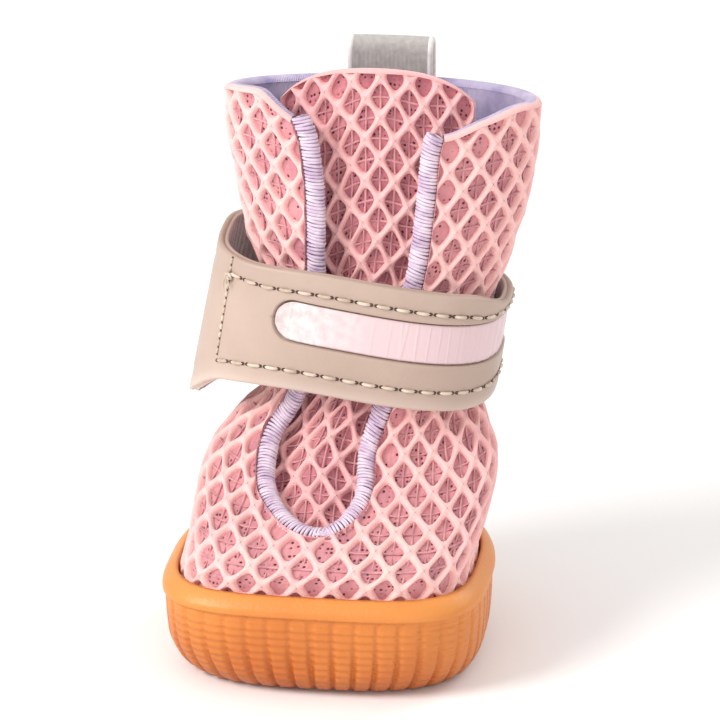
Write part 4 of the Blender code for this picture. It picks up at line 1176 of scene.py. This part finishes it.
def stitch_row(threads, holes, turns, heights, pitch, length, thickness):
    """Raised stitches along a line on the strap, with a dark hole at each end, its dark colour painted shade."""
    fine, normals = resample(strap_at(turns, heights, 0.0), 0.1 * MM, strap_outward(turns, heights))
    step = np.linalg.norm(fine[1] - fine[0])
    last = len(fine) - 1
    for number in range(int(len(fine) * step / pitch)):
        spots = number * pitch / step + np.linspace(0.0, length / step, len(STITCH_RISE))
        index = np.clip(np.round(spots).astype(int), 0, last)
        path = fine[index] + normals[index] * (thickness * 0.75 * STITCH_RISE)[:, None]
        threads.add(*tube(path, thickness * STITCH_WIDTH, 8, normals[index]))
        for end in (index[0], index[-1]):
            along = unit(fine[min(end + 1, last)] - fine[max(end - 1, 0)])
            add_hole(holes, fine[end], unit(normals[end]), along, thickness)


def add_hole(holes, place, normal, along, thickness):
    """A small oval dimple, painted dark as the shade in a needle hole."""
    side = np.cross(normal, along)
    turns = circle(10)
    ring = along * np.cos(turns)[:, None] * 1.15 + side * np.sin(turns)[:, None] * 0.95
    rings = []
    for share, lift in ((1.25, -0.02), (1.0, 0.06), (0.5, 0.03)):
        rings.append(place + ring * thickness * share + normal * (lift * MM))
    holes.add(rings, grid_faces(3, 10, closed=True))
    holes.add(rings[-1], [[9, 8, 7, 6], [9, 8, 7, 6], [0, 9, 6, 3]])


def build_stitches():
    """Cream stitching along the strap, its cross line, the knot and the thread's tails."""
    cream = thread_material("cream_thread", (220, 204, 187), (184, 164, 145))
    # Painted shade: the needle holes are dark sheets standing for the shade inside them.
    dark = hole_material("stitch_holes", (74, 54, 42))
    threads = Bucket()
    holes = Bucket()
    turns = np.linspace(STITCH_START, STITCH_END, 400)
    bottom, top = strap_span(turns)
    over_window = WINDOW_RISE + WINDOW_HEIGHT / 2.0 + WINDOW_STITCH_ROOM
    for heights in (np.maximum(top - STITCH_INSET, over_window), bottom + STITCH_INSET):
        stitch_row(threads, holes, turns, heights, STITCH_PITCH, STITCH_LENGTH, STITCH_THREAD)
    low, high = strap_span(STITCH_START)
    heights = np.linspace(high - 0.3 * MM, low + STITCH_INSET, 200)
    turns = np.full(200, STITCH_START - 0.01)
    stitch_row(threads, holes, turns, heights, 1.15 * MM, 0.85 * MM, 0.16 * MM)
    knot_at = strap_at(STITCH_START, high - STITCH_INSET, 0.0)
    outward = strap_outward(STITCH_START, high - STITCH_INSET)
    across = unit(np.cross(np.array([0.0, 0.0, 1.0]), outward))
    upward = np.cross(outward, across)

    def curve(out, side, up):
        """Points about the knot, from mm outward, sideways and up."""
        return knot_at + MM * (outward * out[:, None] + across * side[:, None] + upward * up[:, None])

    turns = np.linspace(0.0, 3.0 * math.tau, 60)
    coil = curve(0.35 + 0.22 * np.sin(turns * 0.77), 0.42 * np.cos(turns), 0.32 * np.sin(turns * 1.31))
    threads.add(*tube(coil, 0.20 * MM, 6, outward))
    share = np.linspace(0.0, 1.0, 10)
    for lean, length in ((-0.9, 1.9), (0.5, 1.5), (-0.2, 2.3)):
        tail = curve(0.35 + 0.25 * np.sin(share * 3.0), lean * share, -length * share * share)
        threads.add(*tube(tail, 0.13 * MM * (1.0 - 0.5 * share), 6, outward))
    threads.make("strap_stitches", [cream])
    holes.make("stitch_holes", [dark])


def build_pull_loop():
    """Woven ribbon folded over the back of the collar, with bound edges."""
    half = LOOP_THICKNESS / 2.0
    radius = UPPER_WALL / 2.0 + GAP + half
    fold_height = COLLAR_HEIGHT + LOOP_RISE - radius - half
    path = [(radius, height) for height in np.linspace(COLLAR_HEIGHT - LOOP_OUTER_LEG, fold_height, 22)]
    for turn in np.linspace(0.0, math.pi, 15)[1:-1]:
        path.append((radius * math.cos(turn), fold_height + radius * math.sin(turn)))
    path += [(-radius, height) for height in np.linspace(fold_height, COLLAR_HEIGHT - LOOP_INNER_LEG, 18)]
    across = np.linspace(-0.5, 0.5, 17) * LOOP_WIDTH
    middle = []
    for out, z in path:
        height = min(COLLAR_HEIGHT, z)
        wall = face_at(across, height, "back", UPPER_WALL / 2.0)
        x = section_at(height, "lean") + across + SHIFT_X
        middle.append(np.stack([x, wall + out, z + 0.0 * across], axis=-1))
    middle = np.array(middle)
    normals = unit(np.cross(np.gradient(middle, axis=1), np.gradient(middle, axis=0)))
    outer = middle + normals * (half * 0.8)
    inner = middle - normals * (half * 0.8)
    rows, columns = middle.shape[:2]
    bucket = Bucket()
    faces = grid_faces(rows, columns)
    spots = grid_uv(rows, columns, LOOP_WIDTH / MM, 32.0)
    bucket.add(outer, faces, spots)
    bucket.add(inner, faces[:, ::-1], spots)
    for end in (0, rows - 1):
        bucket.add([outer[end], inner[end]], grid_faces(2, columns))
    for side in (0, columns - 1):
        bucket.add(*tube(middle[:, side], half * 1.15, 8, normals[:, side]), kind=1)
    # Each ribbon colour has a lit end at the top and a painted shade end at the foot.
    ribbon = ribbon_material("ribbon_weave", (206, 198, 193), (146, 134, 130))
    edge = ribbon_material("ribbon_edge", (238, 232, 230), (206, 196, 192))
    loop = bucket.make("pull_loop_ribbon", [ribbon, edge])
    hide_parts("pull_loop")


def build_outsole():
    """Gum cup sole: rounded band over a step, then upright ribs with grooves that deepen downward."""
    per_rib = 14
    count = RIB_COUNT * per_rib
    phase = (np.arange(count) / per_rib) % 1.0
    groove_shape = np.exp(-(np.minimum(phase, 1.0 - phase) / 0.13) ** 2)
    rows = []

    def ring(height, inset, square=TOE_SQUARE, groove=0.0, on_tread=0.0):
        x, y = sole_outline(even_turns(count, inset, square), inset + groove_shape * groove, square)
        rows.append(np.stack([x + SHIFT_X, y, height + tread_lift(y) * on_tread], axis=-1))

    for share in (0.10, 0.35, 0.62, 0.78):
        ring(0.0, BALL_WIDTH / 2.0 * (1.0 - share), SOLE_SIDE["square"][0], 0.0, 1.0)
    for share in np.linspace(0.0, 1.0, 26) ** 1.25:
        inset = SOLE_STEP_DEPTH + SOLE_EDGE_INSET * read_table(SOLE_SIDE, "inset", share)
        groove = mix(0.95, 0.22, smooth(share * 1.3)) * MM
        ring(SOLE_STEP_HEIGHT * share, inset, read_table(SOLE_SIDE, "square", share), groove, 1.0 - share)
    for share in np.linspace(0.0, 1.0, 16):
        ring(mix(SOLE_STEP_HEIGHT, SOLE_RIM_HEIGHT, share), SOLE_LIP * read_table(SOLE_BAND, "inset", share))
    ring(CUP_WALL_HEIGHT, SOLE_WALL)
    ring(SOLE_FLOOR_HEIGHT, SOLE_WALL)
    ring(SOLE_FLOOR_HEIGHT, BALL_WIDTH / 2.0 * 0.9)
    bucket = Bucket()
    bucket.add(rows, grid_faces(len(rows), count, closed=True))
    side = np.arange(count)
    fan = np.stack([side, (side + 1) % count, np.full(count, count)], axis=1)
    for row in (rows[0][::-1], rows[-1]):
        bucket.add(np.concatenate([row, [row.mean(axis=0)]]), fan)
    sole = bucket.make("gum_sole", [rubber_material("gum_rubber")])
    weld(sole)
    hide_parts("outsole")


def build_insole():
    """Knit-faced foam pad on the cup's floor, with rounded edges."""
    edge = SOLE_WALL + GAP + (UPPER_WALL + 2.0 * GAP) * BALL_WIDTH / HEEL_WIDTH
    low = SOLE_FLOOR_HEIGHT + GAP
    x, y = sole_outline(circle(120), edge)
    profile = ((0.05, 0.0), (1.0, 0.0), (1.0, 0.75), (0.985, 0.93), (0.96, 1.0), (0.7, 1.0), (0.35, 1.0), (0.05, 1.0))
    rows = []
    spots = []
    for share, rise in profile:
        rows.append(np.stack([x * share + SHIFT_X, y * share, low + INSOLE_THICKNESS * rise + 0.0 * x], axis=-1))
        spots.append(np.stack([x * share, y * share], axis=-1) / MM)
    bucket = Bucket()
    bucket.add(rows, grid_faces(len(rows), 120, closed=True), spots)
    foam = knit_material("insole_knit", (205, 192, 220), (160, 146, 188))
    insole = bucket.make("insole_pad", [foam])
    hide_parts("insole")


def area_light(name, place, size, power, tint=(1.0, 1.0, 1.0)):
    """A round soft light, aimed at the boot's middle."""
    light = bpy.data.lights.new(name, "AREA")
    light.shape = "DISK"
    light.size = size
    light.energy = power
    light.color = tint
    obj = bpy.data.objects.new(name, light)
    obj.location = place
    obj.rotation_euler = (Vector((0.0, 0.0, 0.04)) - Vector(place)).to_track_quat("-Z", "Y").to_euler()
    bpy.context.scene.collection.objects.link(obj)


def build_studio():
    """Pale floor, soft lights and the photograph's camera."""
    scene = bpy.context.scene
    scene.view_settings.view_transform = "Standard"
    mesh = bpy.data.meshes.new("floor")
    corners = [(-3.0, -3.0, 0.0), (3.0, -3.0, 0.0), (3.0, 3.0, 0.0), (-3.0, 3.0, 0.0)]
    mesh.from_pydata(corners, [], [(0, 1, 2, 3)])
    paint = Paint("floor_paper", 0.9, specular=0.1)
    paper = paint.ramp(paint.grain(3.0), (0.3, (250, 250, 249)), (0.7, (253, 252, 252)))
    mesh.materials.append(paint.done(paper))
    floor = bpy.data.objects.new("floor", mesh)
    scene.collection.objects.link(floor)
    world = bpy.data.worlds.new("studio")
    world.use_nodes = True
    world.node_tree.nodes["Background"].inputs["Color"].default_value = (1.0, 0.99, 0.98, 1.0)
    world.node_tree.nodes["Background"].inputs["Strength"].default_value = 0.78
    scene.world = world
    area_light("key_left", (-0.46, -0.36, 0.46), 0.34, 3.9, (1.0, 0.985, 0.97))
    area_light("fill_front", (0.20, -0.62, 0.30), 0.40, 0.4)
    area_light("back_right", (0.40, 0.36, 0.42), 0.30, 0.8)
    camera_data = bpy.data.cameras.new("camera")
    camera_data.lens = CAMERA_LENS
    camera_data.sensor_width = 36.0
    camera_data.clip_start = 0.01
    camera = bpy.data.objects.new("camera", camera_data)
    flat = math.cos(CAMERA_RISE)
    toward = Vector((math.sin(CAMERA_YAW) * flat, -math.cos(CAMERA_YAW) * flat, math.sin(CAMERA_RISE)))
    camera.location = CAMERA_TARGET + toward * CAMERA_DISTANCE
    camera.rotation_euler = (-toward).to_track_quat("-Z", "Y").to_euler()
    scene.collection.objects.link(camera)
    scene.camera = camera


build_studio()
build_outsole()
build_insole()
build_upper()
build_edging()
build_tongue()
build_strap()
build_reflective_strip()
build_stitches()
build_pull_loop()
